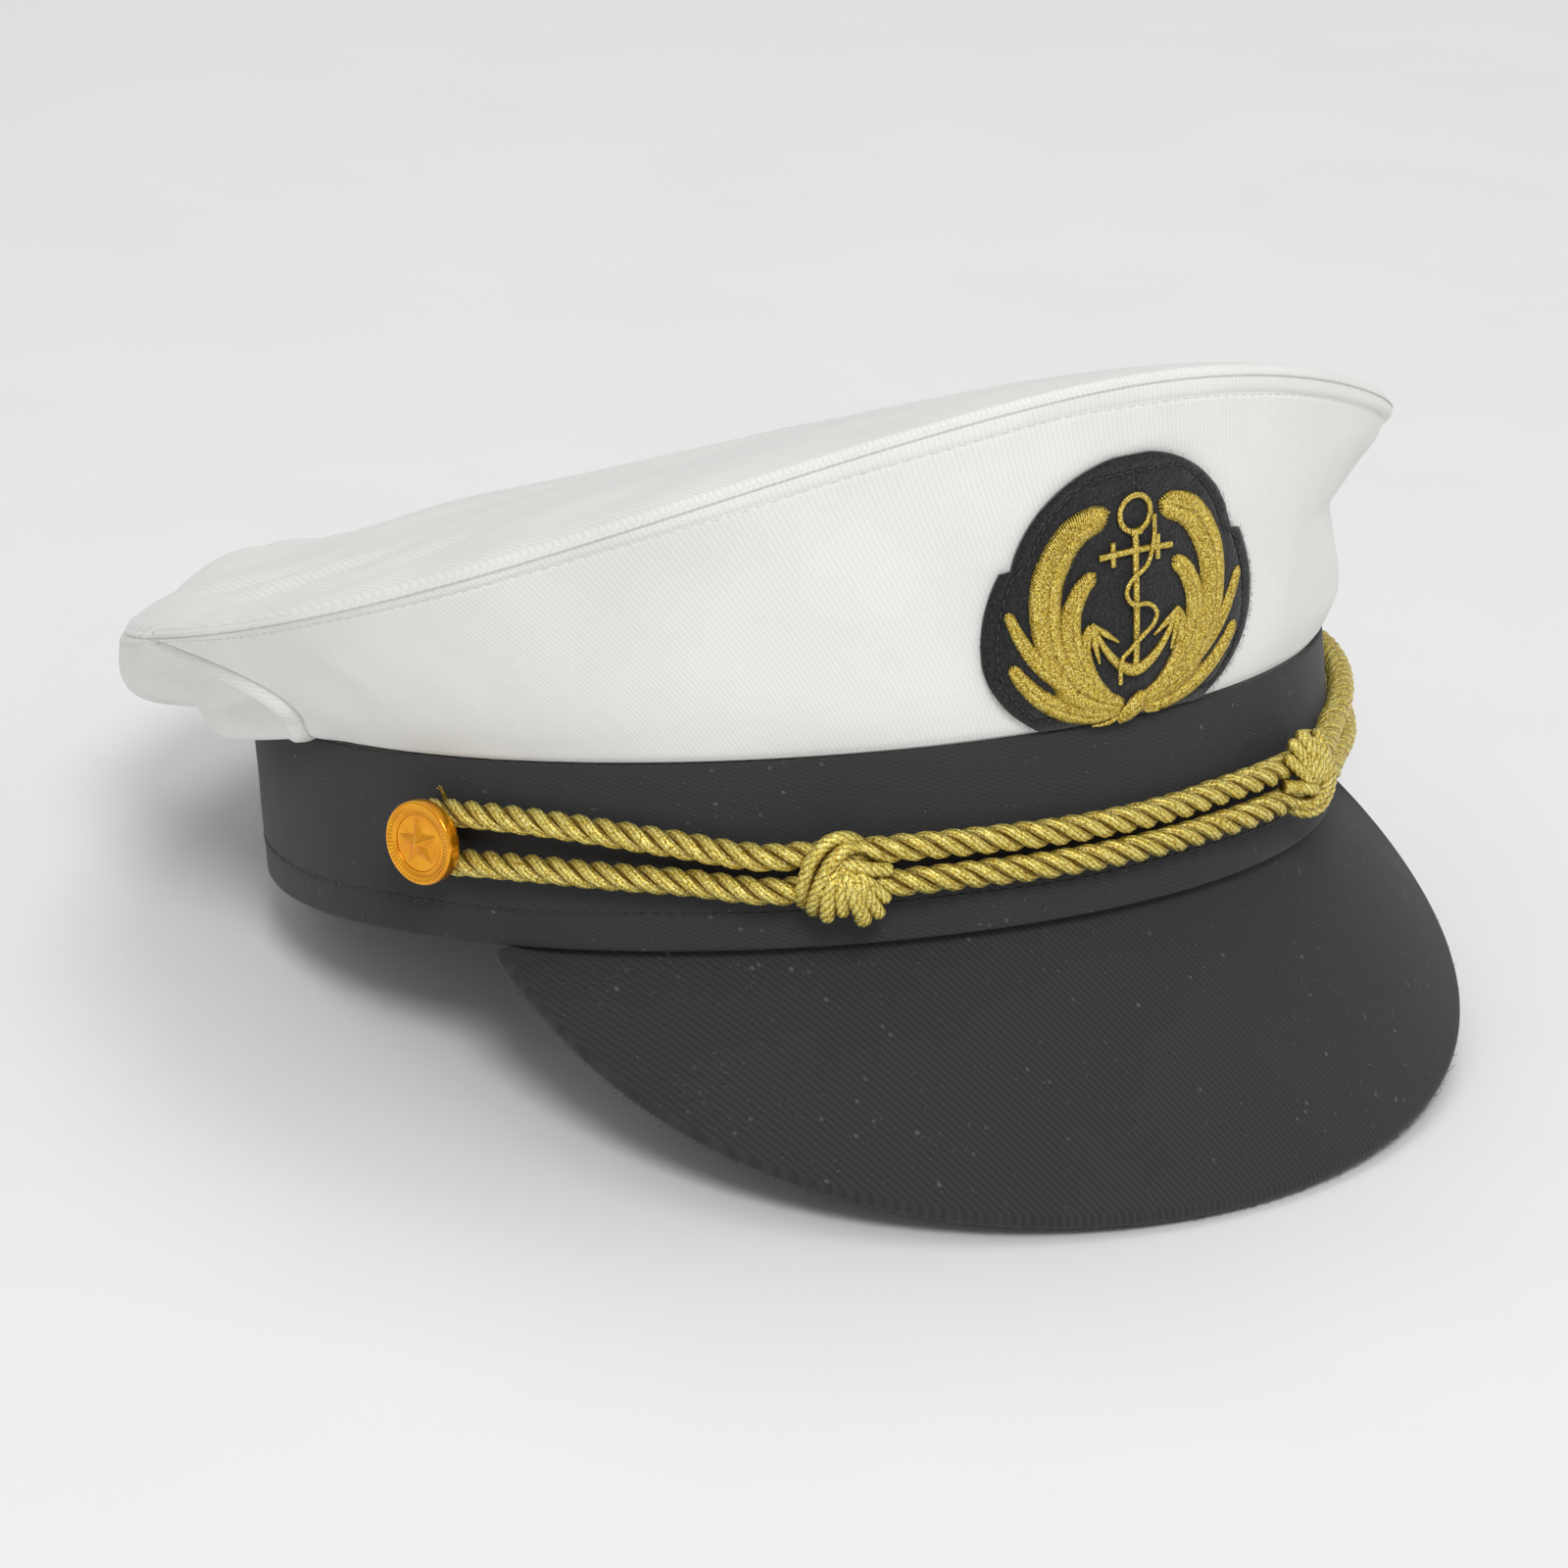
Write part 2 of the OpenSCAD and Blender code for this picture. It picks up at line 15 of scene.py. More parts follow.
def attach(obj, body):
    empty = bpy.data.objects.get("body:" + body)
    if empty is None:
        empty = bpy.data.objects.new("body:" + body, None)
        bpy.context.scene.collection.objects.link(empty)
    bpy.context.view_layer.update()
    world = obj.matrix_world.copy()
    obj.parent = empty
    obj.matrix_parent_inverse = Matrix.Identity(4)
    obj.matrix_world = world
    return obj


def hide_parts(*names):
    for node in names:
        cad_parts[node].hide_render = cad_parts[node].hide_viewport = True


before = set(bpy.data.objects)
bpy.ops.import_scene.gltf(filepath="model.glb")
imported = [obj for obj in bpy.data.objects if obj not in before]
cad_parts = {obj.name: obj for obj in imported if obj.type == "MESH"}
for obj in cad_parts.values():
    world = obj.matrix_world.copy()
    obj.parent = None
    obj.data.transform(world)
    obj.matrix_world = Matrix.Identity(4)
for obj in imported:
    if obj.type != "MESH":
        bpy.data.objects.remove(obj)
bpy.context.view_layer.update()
random.seed(7)

MM = 0.001
UP = Vector((0, 0, 1))

# ---------- driving dimensions, the same as the CAD's ----------
BAND_A, BAND_B, BAND_EGG, BAND_H = 93, 98, 0.05, 31
CROWN_A, CROWN_B, CROWN_BACK, CROWN_DOME = 112, 117, 8, 8
SEAM_MID, SEAM_RISE, SEAM_LEAN = 58.8, 22.6, 3.5
SEAM_SADDLE, SEAM_TWIST, SEAM_RIPPLE = 3.2, 1.6, 2.4
SIDE_SEAM = 12
VISOR_W, VISOR_L, VISOR_Y, VISOR_DROP, VISOR_ARCH = 87, 77.8, 47.2, 45, 2.5
VISOR_HALF, RIM_HALF = 68, 97.8
BADGE_ANGLE, BADGE_HALF, FELT_T = 268.6, 29.5, 1.2
SIDE_LEN, DEG_PER_MM = 56.5, 0.55
CORD_D, CORD_LIFT, KNOT_LIFT, KNOT_Z, STRAND, TURN_R = 4.6, 2.7, 4.1, 13.4, 2.8, 4.1
KNOT_RIGHT, KNOT_LEFT = 237, 293
BUTTON_RIGHT, BUTTON_LEFT, BUTTON_Z, BUTTON_D, BUTTON_T = 196, 351, 18.5, 14.2, 3
FABRIC_T, CROWN_T, BOARD_T, GAP = 0.8, 1.0, 1.2, 0.3
SWEAT_IN, SWEAT_T = 2.3, 1.0
BAND_TOTAL = SWEAT_IN + SWEAT_T
STAY_IN = CROWN_T + 0.25
LINING_IN = STAY_IN + BOARD_T + 0.25
VISOR_T = 2 * FABRIC_T + BOARD_T + 0.3
TILT = math.atan((VISOR_DROP + 0.6 * VISOR_T) / (BAND_B + VISOR_Y + VISOR_L))
REST_Y, REST_Z = 0.2, BAND_B * math.sin(TILT)

# ---------- the chin cord's route: angle round the band and height up it ----------
LOW_Z, HIGH_Z = KNOT_Z - STRAND, KNOT_Z + STRAND
CORD_RIGHT = [
    (237, LOW_Z), (233.5, LOW_Z), (230, LOW_Z), (226.5, 11.2), (223, 12), (218, 12.8),
    (213, 13.4), (208, 14), (203, 14.3), (199.5, 14.4)]
CORD_RIGHT_BACK = [
    (199.5, 22.6), (203, 22.4), (208, 21.8), (213, 20.8), (218, 19.5), (223, 18), (226.5, 16.9),
    (230, HIGH_Z), (233.5, HIGH_Z), (237, HIGH_Z), (240.5, HIGH_Z), (244, HIGH_Z), (247.5, 15.9),
    (251, 15.6), (257, 15.3), (263, 15.1), (269, 15.1), (275, 15.3), (279, 15.6), (282.5, 15.9),
    (286, HIGH_Z), (289.5, HIGH_Z), (293, HIGH_Z)]
CORD_LEFT = [
    (293, HIGH_Z), (296.5, HIGH_Z), (300, HIGH_Z), (303.5, 16.9), (307, 17.6), (312, 18.6),
    (318, 19.8), (325, 21), (332, 22), (338, 22.5), (343, 22.6), (348, 22.6)]
CORD_LEFT_BACK = [
    (348, 14.4), (343, 14.4), (338, 14.3), (332, 14), (325, 13.3), (318, 12.6), (312, 12.2),
    (307, 11.8), (303.5, 11.3), (300, LOW_Z), (296.5, LOW_Z), (293, LOW_Z), (289.5, LOW_Z),
    (286, LOW_Z), (282.5, 10.3), (279, 10.1), (275, 10), (269, 9.9), (263, 9.9), (257, 10),
    (251, 10.2), (247.5, 10.4), (244, LOW_Z), (240.5, LOW_Z), (237, LOW_Z)]

# ---------- embroidery: spine points across and up the badge, and widths ----------
LEAVES = [
    ([(3, 3.6), (11.5, 7.4), (16.4, 14.6), (17.6, 22), (16.4, 29), (12, 35.2), (5, 38)],
     (2.4, 4.4, 5.2, 5.8, 6.0, 5.4, 3.8), 0.5),
    ([(5, 4.6), (9.6, 9.4), (12.6, 15), (13.1, 20.5), (11.2, 25.2), (8, 28.2)],
     (2, 3.4, 4.0, 4.0, 3.4, 2.4), 0.8),
    ([(4.4, 4.8), (8.2, 8.4), (10.2, 12.5), (10.4, 16.3), (9, 19.4)],
     (1.6, 2.6, 2.6, 2.2, 1.6), 0.65),
    ([(6, 3.2), (14.4, 9.2), (19.6, 14.2), (22.6, 19.3), (24.4, 24.3)],
     (2.2, 3.2, 3.0, 2.4, 1.5), 0.35),
    ([(2, 2.6), (7, 2.2), (13, 3.7), (18.6, 6.9), (22.4, 10.8), (24.6, 14.4)],
     (2, 3.0, 3.6, 3.4, 2.8, 1.8), 0.2),
    ([(2, 3.4), (7, 5), (12, 7.8), (16, 11.6)], (2.8, 5.6, 6.6, 3.4), 0.1)]
ROPE_LINE = [(3.2, 36.6), (3.2, 32.8), (1.9, 28.4), (-1.5, 26), (-2.5, 23.8), (-1.2, 21.8),
             (2, 21.4), (3.7, 19.7), (3, 17.7), (0.8, 16), (-1.9, 13.9), (-3.7, 12), (-3.7, 8)]


# ---------- small helpers ----------
def mix(a, b, w):
    return a + (b - a) * w


def clamp(x, low=0.0, high=1.0):
    return min(max(x, low), high)


def smooth(x):
    x = clamp(x)
    return x * x * (3 - 2 * x)


def bump_at(x, middle, half):
    """A soft hill of height 1 at middle that fades out half away from it."""
    return smooth(1 - abs(x - middle) / half)


def sin_d(p):
    return math.sin(math.radians(p))


def cos_d(p):
    return math.cos(math.radians(p))


def rough(v, scale, seed):
    """Smooth noise from -1 to 1 whose features are about scale millimetres across."""
    return noise.noise(v / scale + Vector((seed * 7.3, seed * 3.1, seed * 5.7)))


def rest(v):
    c, s = math.cos(TILT), math.sin(TILT)
    return Vector((v[0], v[1] * c + v[2] * s + REST_Y, -v[1] * s + v[2] * c + REST_Z)) * MM


# ---------- surfaces shared with the CAD ----------
def band_out(p):
    dx = BAND_A * (-sin_d(p) * (1 + BAND_EGG * sin_d(p)) + BAND_EGG * cos_d(p) ** 2)
    dy = BAND_B * cos_d(p)
    return Vector((dy, -dx, 0)).normalized()


def band_point(p, z, lift=0.0):
    foot = Vector((BAND_A * cos_d(p) * (1 + BAND_EGG * sin_d(p)), BAND_B * sin_d(p), z))
    return foot + band_out(p) * lift


def seam_height(p, r):
    return (SEAM_MID + r * (SEAM_LEAN * cos_d(p) - SEAM_RISE * sin_d(p))
            + r * r * (SEAM_TWIST * sin_d(2 * p) - SEAM_SADDLE * cos_d(2 * p))
            + r ** 3 * SEAM_RIPPLE * sin_d(3 * p))


def top_point(p, r, lift):
    return Vector((CROWN_A * r * cos_d(p), CROWN_B * r * sin_d(p) + CROWN_BACK,
                   seam_height(p, r) + CROWN_DOME * (1 - r ** 3) + lift))


def slump(p):
    """How much the side panel slumps: none in front of the side seams, full at the back."""
    return smooth((sin_d(p) - 0.1) / 0.45)


def side_face(p, t):
    foot = band_point(p, BAND_H + 0.3, -0.2)
    head = top_point(p, 1, 0)
    rise = head.z - foot.z
    back = slump(p)
    low = foot + band_out(p) * mix(7, 15, back) + UP * mix(0.3 * rise, 1.2, back)
    high = head + band_out(p) * mix(-9, 4, back) - UP * mix(0.4 * rise, 17, back)
    return (foot * (1 - t) ** 3 + low * (3 * t * (1 - t) ** 2)
            + high * (3 * t * t * (1 - t)) + head * t ** 3)


def side_out(p, t):
    around = side_face(p + 0.5, t) - side_face(p - 0.5, t)
    upward = side_face(p, min(t + 0.01, 1)) - side_face(p, max(t - 0.01, 0))
    return around.cross(upward).normalized()


def side_point(p, t, lift=0.0):
    return side_face(p, t) + side_out(p, t) * lift


def rim_point(u):
    a, w = u * RIM_HALF, 1 - u * u
    return Vector((VISOR_W * sin_d(a), -VISOR_Y - VISOR_L * cos_d(a),
                   -VISOR_DROP * (max(w, 0) ** 1.33 + 0.41 * u * u * w)))


def visor_face(u, v):
    root = band_point(270 + u * VISOR_HALF, -GAP, -BAND_TOTAL)
    return mix(root, rim_point(u), v) + UP * (4 * VISOR_ARCH * v * (1 - v) * (1 - u * u))


def visor_up(u, v):
    a, b = clamp(u, -0.97, 0.97), clamp(v, 0.05, 0.98)
    across = visor_face(a + 0.02, b) - visor_face(a - 0.02, b)
    along = visor_face(a, b - 0.02) - visor_face(a, b + 0.02)
    return across.cross(along).normalized()


def badge_point(x, y, lift):
    return side_point(BADGE_ANGLE + x * DEG_PER_MM, y / SIDE_LEN, lift)


def badge_out(x, y):
    return side_out(BADGE_ANGLE + x * DEG_PER_MM, y / SIDE_LEN)


def badge_edge(y):
    """Half width of the felt at height y: round lobes below, a dome above them."""
    if y < 31.2:
        return BADGE_HALF * math.sqrt(1 - ((y - 16) / (20 if y < 16 else 27.5)) ** 2)
    return 23.4 * math.sqrt(max(1 - ((y - 26) / 20.2) ** 2, 0.002))


# ---------- curves ----------
def curve_through(points, step):
    """Points about step apart on a smooth curve through the given ones."""
    points = [Vector(q) for q in points]
    ends = [points[0] * 2 - points[1]] + points + [points[-1] * 2 - points[-2]]
    line = []
    for a, b, c, d in zip(ends, ends[1:], ends[2:], ends[3:]):
        count = max(1, round((c - b).length / step))
        for k in range(count):
            t = k / count
            line.append(0.5 * (2 * b + (c - a) * t + (2 * a - 5 * b + 4 * c - d) * t * t
                               + (3 * b - a - 3 * c + d) * t ** 3))
    line.append(points[-1])
    return line


def distances(line):
    """How far along its line each point lies."""
    run = [0.0]
    for a, b in zip(line, line[1:]):
        run.append(run[-1] + (b - a).length)
    return run


def axes_at(line, outs, k):
    """The directions out of a line and beside it, square to the line, at its point k."""
    ahead = (line[min(k + 1, len(line) - 1)] - line[max(k - 1, 0)]).normalized()
    out = (outs[k] - ahead * outs[k].dot(ahead)).normalized()
    return out, ahead.cross(out)


def spaced(start, stop, count):
    return [mix(start, stop, k / count) for k in range(count + 1)]


def out_and_back(j, count):
    """The place, out of count, of column j in a row that runs out and back again."""
    j %= 2 * count
    return min(j, 2 * count - 1 - j)


def value_along(values, w):
    """The value at w, from 0 to 1, along evenly spaced values."""
    x = clamp(w) * (len(values) - 1)
    k = min(int(x), len(values) - 2)
    return mix(values[k], values[k + 1], x - k)


# ---------- mesh building ----------
def put(name, data):
    """A new object in the scene."""
    made = bpy.data.objects.new(name, data)
    bpy.context.scene.collection.objects.link(made)
    return made


class Piece:
    """One object under construction: points in the band's pose, with cloth coordinates."""

    def __init__(self, name):
        self.name = name
        self.verts = []
        self.faces = []
        self.weave = []

    def grid(self, rows, weave, around=False, tube=False):
        """Quads over rows[i][j]; around joins the last row to the first, tube the columns."""
        base = len(self.verts)
        high, wide = len(rows), len(rows[0])
        for row in rows:
            self.verts.extend(row)
        for i in range(high if around else high - 1):
            for j in range(wide if tube else wide - 1):
                corners = ((i, j), (i + 1, j), (i + 1, j + 1), (i, j + 1))
                self.faces.append([base + (a % high) * wide + b % wide for a, b in corners])
                self.weave.append([weave(a, b) for a, b in corners])
        return base

    def face(self, indices):
        self.faces.append(indices)
        self.weave.append([(0, 0)] * len(indices))

    def slab(self, rows, weave):
        """A sheet of real thickness: each row runs out along it and back inside it."""
        wide = len(rows[0])
        base = self.grid(rows, weave, tube=True)
        far = base + (len(rows) - 1) * wide
        for start, step in ((base, 1), (far, -1)):
            for j in range(wide // 2 - 1):
                self.face([start + k for k in (j, j + 1, wide - 2 - j, wide - 1 - j)][::step])

    def tube(self, line, outs, radius, sides, flutes=0, depth=0.0, turn=0.0, squash=1.0):
        """A round rod along line; flutes yarns wind round it once every turn millimetres.

        Its cloth coordinates are 1 on the side that faces out and 0 on the hidden side, and
        a whole number in each groove between two yarns.
        """
        rows = []
        run = distances(line)
        for k, q in enumerate(line):
            out, beside = axes_at(line, outs, k)
            size = radius(run[k] / run[-1]) if callable(radius) else radius
            phase = 2 * math.pi * run[k] / turn if turn else 0
            row = []
            for i in range(sides):
                a = 2 * math.pi * i / sides
                r = size
                if flutes:
                    r -= size * depth * (1 - abs(math.sin(flutes * (a + phase) / 2)))
                row.append(q + out * (r * squash * math.cos(a)) + beside * (r * math.sin(a)))
            rows.append(row)

        def weave(i, j):
            yarn = flutes * (run[i] / turn + j / sides) if turn else 0.5
            return (abs(2 * j / sides - 1), yarn)

        base = self.grid(rows, weave, tube=True)
        self.face([base + i for i in reversed(range(sides))])
        self.face([base + (len(line) - 1) * sides + i for i in range(sides)])

    def build(self, body, material, replaces=(), weld=0.0):
        mesh = bpy.data.meshes.new(self.name)
        mesh.from_pydata([rest(v) for v in self.verts], [], self.faces)
        layer = mesh.uv_layers.new(name="weave")
        corners = [c for face in self.weave for uv in face for c in uv]
        layer.data.foreach_set("uv", corners)
        work = bmesh.new()
        work.from_mesh(mesh)
        if weld:
            bmesh.ops.remove_doubles(work, verts=work.verts, dist=weld * MM)
        bmesh.ops.recalc_face_normals(work, faces=work.faces)
        work.to_mesh(mesh)
        work.free()
        mesh.shade_smooth()
        piece = put(self.name, mesh)
        mesh.materials.append(material)
        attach(piece, body)
        if replaces:
            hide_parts(*replaces)
        return piece


def round_end(w, size, length):
    """Radius at w of a rod of the given size and length that ends in a ball."""
    left = (1 - w) * length
    return size * math.sqrt(max(1 - (1 - min(left / size, 1)) ** 2, 0.02))


# ---------- materials ----------
class Shader:
    """A Principled material and the few node patterns that the cap's materials share."""

    def __init__(self, name, roughness=0.8, metallic=0.0, sheen=0.0, coat=0.0):
        self.material = bpy.data.materials.new(name)
        self.material.use_nodes = True
        self.tree = self.material.node_tree
        self.surface = self.tree.nodes["Principled BSDF"]
        for socket, value in (("Roughness", roughness), ("Metallic", metallic),
                              ("Sheen Weight", sheen), ("Coat Weight", coat)):
            self.surface.inputs[socket].default_value = value
        self.weave = self.node("ShaderNodeUVMap")
        self.weave.uv_map = "weave"
        self.place = self.node("ShaderNodeTexCoord")

    def node(self, kind, **values):
        made = self.tree.nodes.new(kind)
        for key, value in values.items():
            setattr(made, key, value)
        return made

    def link(self, source, target):
        self.tree.links.new(source, target)

    def ribs(self, pitch, angle, wobble=0.0):
        """Parallel ridges pitch apart across the cloth, turned by angle."""
        turn = self.node("ShaderNodeMapping")
        turn.inputs["Rotation"].default_value = (0, 0, math.radians(angle))
        self.link(self.weave.outputs["UV"], turn.inputs["Vector"])
        wave = self.node("ShaderNodeTexWave", bands_direction="X")
        wave.inputs["Scale"].default_value = math.pi / 10 / pitch
        wave.inputs["Distortion"].default_value = wobble
        wave.inputs["Detail"].default_value = 2
        wave.inputs["Detail Scale"].default_value = 1.5
        self.link(turn.outputs["Vector"], wave.inputs["Vector"])
        return wave.outputs["Fac"]

    def cloud(self, size, detail=3.0, cloth=False):
        """Noise with features of about size millimetres, in space or along the cloth."""
        turn = self.node("ShaderNodeMapping")
        turn.inputs["Scale"].default_value = [1 / size if cloth else 1000 / size] * 3
        source = self.weave.outputs["UV"] if cloth else self.place.outputs["Object"]
        self.link(source, turn.inputs["Vector"])
        made = self.node("ShaderNodeTexNoise")
        made.inputs["Scale"].default_value = 1
        made.inputs["Detail"].default_value = detail
        self.link(turn.outputs["Vector"], made.inputs["Vector"])
        return made.outputs["Fac"]

    def specks(self, size, share, stretch=(1, 1, 1)):
        """1 on scattered specks, 0 between them."""
        turn = self.node("ShaderNodeMapping")
        turn.inputs["Scale"].default_value = [1000 / size * k for k in stretch]
        self.link(self.place.outputs["Object"], turn.inputs["Vector"])
        cells = self.node("ShaderNodeTexVoronoi")
        cells.inputs["Scale"].default_value = 1
        self.link(turn.outputs["Vector"], cells.inputs["Vector"])
        edge = self.node("ShaderNodeMapRange", clamp=True)
        edge.inputs["From Min"].default_value = share
        edge.inputs["From Max"].default_value = share * 0.4
        self.link(cells.outputs["Distance"], edge.inputs["Value"])
        return edge.outputs["Result"]

    def times(self, a, b, operation="MULTIPLY"):
        """Two values multiplied, or put together by another operation."""
        made = self.node("ShaderNodeMath", operation=operation)
        for socket, value in zip(made.inputs, (a, b)):
            if isinstance(value, (int, float)):
                socket.default_value = value
            else:
                self.link(value, socket)
        return made.outputs["Value"]

    def sum(self, a, share_a, b, share_b):
        return self.times(self.times(a, share_a), self.times(b, share_b), "ADD")

    def ramp(self, factor, *stops):
        made = self.node("ShaderNodeValToRGB")
        steps = made.color_ramp.elements
        while len(steps) < len(stops):
            steps.new(0.5)
        for step, (place, colour) in zip(steps, stops):
            step.position = place
            step.color = (*colour, 1)
        self.link(factor, made.inputs["Fac"])
        return made.outputs["Color"]

    def blend(self, factor, a, b, mode="MIX"):
        made = self.node("ShaderNodeMix", data_type="RGBA", blend_type=mode)
        if isinstance(factor, (int, float)):
            made.inputs[0].default_value = factor
        else:
            self.link(factor, made.inputs[0])
        for socket, value in ((made.inputs[6], a), (made.inputs[7], b)):
            if isinstance(value, tuple):
                socket.default_value = (*value, 1)
            else:
                self.link(value, socket)
        return made.outputs[2]

    def colour(self, source):
        self.link(source, self.surface.inputs["Base Color"])

    def bump(self, height, depth):
        """Raises the surface by depth millimetres where height is 1."""
        made = self.node("ShaderNodeBump")
        made.inputs["Distance"].default_value = depth * MM
        self.link(height, made.inputs["Height"])
        previous = self.surface.inputs["Normal"]
        if previous.links:
            self.link(previous.links[0].from_socket, made.inputs["Normal"])
        self.link(made.outputs["Normal"], self.surface.inputs["Normal"])


def twill(name, light, dark, pitch, angle, depth, lint, sheen):
    """Twill cloth: ribs at an angle, broken into yarns, with stains and lint."""
    shader = Shader(name, roughness=0.92, sheen=sheen)
    shader.surface.inputs["Sheen Roughness"].default_value = 0.45
    shader.surface.inputs["Specular IOR Level"].default_value = 0.25
    ribs = shader.ribs(pitch, angle, 0.5)
    yarns = shader.ribs(pitch * 0.62, angle + 68, 1.2)
    grain = shader.cloud(pitch * 0.8, 2, cloth=True)
    cloth = shader.sum(ribs, 0.75, yarns, 0.25)
    tone = shader.sum(cloth, 0.7, grain, 0.5)
    colour = shader.ramp(tone, (0.2, dark), (0.85, light))
    patchy = shader.ramp(shader.cloud(24), (0.3, (0.93, 0.93, 0.94)), (0.7, (1, 1, 1)))
    colour = shader.blend(1.0, colour, patchy, "MULTIPLY")
    if lint:
        specks = shader.specks(2.6, 0.16, (1, 0.55, 1))
        faint = shader.times(shader.specks(1.3, 0.13), 0.35)
        both = shader.times(shader.times(specks, lint), faint, "MAXIMUM")
        sparse = shader.ramp(shader.cloud(9), (0.5, (0, 0, 0)), (0.62, (1, 1, 1)))
        colour = shader.blend(shader.times(both, sparse), colour, (0.22, 0.22, 0.23))
    shader.colour(colour)
    shader.bump(cloth, depth)
    shader.bump(grain, depth * 0.6)
    return shader.material


def gold(name, size, roughness, depth, sparkle, dull):
    """Metallised thread: bright foil, painted brown shade in the grooves between yarns and on each
    yarn's hidden side, and painted glints sparkling along each yarn.
    """
    shader = Shader(name, roughness=roughness, metallic=0.5)
    foil = shader.cloud(size, 4)
    glint = shader.cloud(size * 0.7, 2)
    tone = shader.sum(foil, 0.5, glint, 0.5)
    colour = shader.ramp(tone, (0.38 + dull, (0.36, 0.21, 0.012)),
                         (0.47 + dull, (0.80, 0.60, 0.085)), (0.57 + dull, (1.0, 0.91, 0.30)))
    # painted shade: the grooves between the yarns darkened to brown
    groove_shade = shader.ramp(shader.ribs(1, 90), (0.04, (1, 1, 1)), (0.5, (0, 0, 0)))
    colour = shader.blend(shader.times(groove_shade, depth), colour, (0.15, 0.066, 0.004))
    # painted shade: the side of each yarn and ply that faces away, into the cord or knot, darkened
    # to brown
    hidden_side_shade = shader.ramp(shader.ribs(2, 0), (0.42, (1, 1, 1)), (0.86, (0, 0, 0)))
    colour = shader.blend(shader.times(hidden_side_shade, 0.78), colour, (0.17, 0.075, 0.004))
    # painted glints: scattered pale yellow specks standing in for the foil's highlights
    painted_glints = shader.specks(size * 1.3, 0.34)
    shader.colour(shader.blend(shader.times(painted_glints, sparkle), colour, (1.0, 0.97, 0.52)))
    shader.bump(foil, size * 0.35)
    shader.bump(glint, size * 0.3)
    return shader.material


def felt():
    shader = Shader("black_felt", roughness=0.96, sheen=0.35)
    shader.surface.inputs["Specular IOR Level"].default_value = 0.15
    wool = shader.cloud(0.5, 5)
    colour = shader.ramp(wool, (0.3, (0.008, 0.008, 0.009)), (0.75, (0.035, 0.035, 0.038)))
    shader.colour(shader.blend(shader.specks(1.6, 0.12), colour, (0.09, 0.09, 0.09)))
    shader.bump(wool, 0.25)
    return shader.material


def plain_weave(name, light, dark, pitch, depth, gloss):
    """A fine plain weave: two sets of threads at right angles."""
    shader = Shader(name, roughness=gloss, sheen=0.2)
    cloth = shader.times(shader.ribs(pitch, 0, 0.4), shader.ribs(pitch, 90, 0.4), "ADD")
    tone = shader.times(shader.times(cloth, 0.4), shader.times(shader.cloud(14), 0.4), "ADD")
    shader.colour(shader.ramp(tone, (0.3, dark), (0.8, light)))
    shader.bump(cloth, depth)
    return shader.material


def moulded(name, light, dark, grain, roughness):
    """Moulded sheet or board with a fine grain."""
    shader = Shader(name, roughness=roughness)
    speckle = shader.cloud(grain, 4)
    shader.colour(shader.ramp(speckle, (0.3, dark), (0.7, light)))
    shader.bump(speckle, 0.04)
    return shader.material


def button_gold():
    shader = Shader("button_gold", roughness=0.22, metallic=0.75, coat=0.3)
    shader.surface.inputs["Coat Roughness"].default_value = 0.12
    haze = shader.cloud(3.5, 3)
    shader.colour(shader.ramp(haze, (0.3, (0.86, 0.30, 0.004)), (0.7, (1.0, 0.47, 0.012))))
    shader.bump(shader.cloud(0.6, 2), 0.01)
    return shader.material


BAND_TWILL = twill("band_twill", (0.047, 0.047, 0.05), (0.034, 0.034, 0.036),
                   0.72, -68, 0.02, 0.45, 0.12)
VISOR_TWILL = twill("visor_twill", (0.047, 0.047, 0.05), (0.031, 0.031, 0.033),
                    1.05, -27, 0.03, 0.45, 0.12)
CROWN_SIDE_TWILL = twill("crown_side_twill", (0.94, 0.94, 0.905), (0.86, 0.86, 0.825),
                         0.85, -16, 0.035, 0, 0.1)
CROWN_TOP_TWILL = twill("crown_top_twill", (0.94, 0.94, 0.91), (0.84, 0.84, 0.81),
                        0.95, 7, 0.04, 0, 0.1)
CORD_GOLD = gold("cord_gold", 0.5, 0.28, 0.5, 0.35, 0)
THREAD_GOLD = gold("thread_gold", 0.36, 0.3, 0.8, 0.6, 0.06)
FELT = felt()
BUTTON_GOLD = button_gold()
SWEAT_CLOTH = plain_weave("sweatband_cloth", (0.05, 0.05, 0.052), (0.02, 0.02, 0.021),
                          0.55, 0.04, 0.7)
LINING_CLOTH = plain_weave("lining_cloth", (0.85, 0.85, 0.83), (0.66, 0.66, 0.65),
                           0.4, 0.02, 0.6)
VISOR_LINING = plain_weave("visor_lining", (0.055, 0.055, 0.058), (0.022, 0.022, 0.023),
                           0.7, 0.05, 0.85)
STIFFENER = moulded("stiffener_sheet", (0.80, 0.79, 0.74), (0.70, 0.68, 0.62), 1.6, 0.5)
WHITE_THREAD = moulded("white_thread", (0.86, 0.86, 0.84), (0.66, 0.66, 0.65), 0.3, 0.7)
BLACK_THREAD = moulded("black_thread", (0.05, 0.05, 0.052), (0.012, 0.012, 0.013), 0.3, 0.6)
LINT = moulded("pale_lint", (0.36, 0.36, 0.36), (0.24, 0.24, 0.25), 0.3, 0.9)


def band_side(p):
    """Rough distance round the band, in millimetres, for cloth coordinates."""
    return math.radians(p) * BAND_B


# ---------- chin cord ----------
PLY_LAY, PLY_R, PLY_OUT = 12.4, 1.13, 1.25
DEG_PER_BAND_MM = 0.573


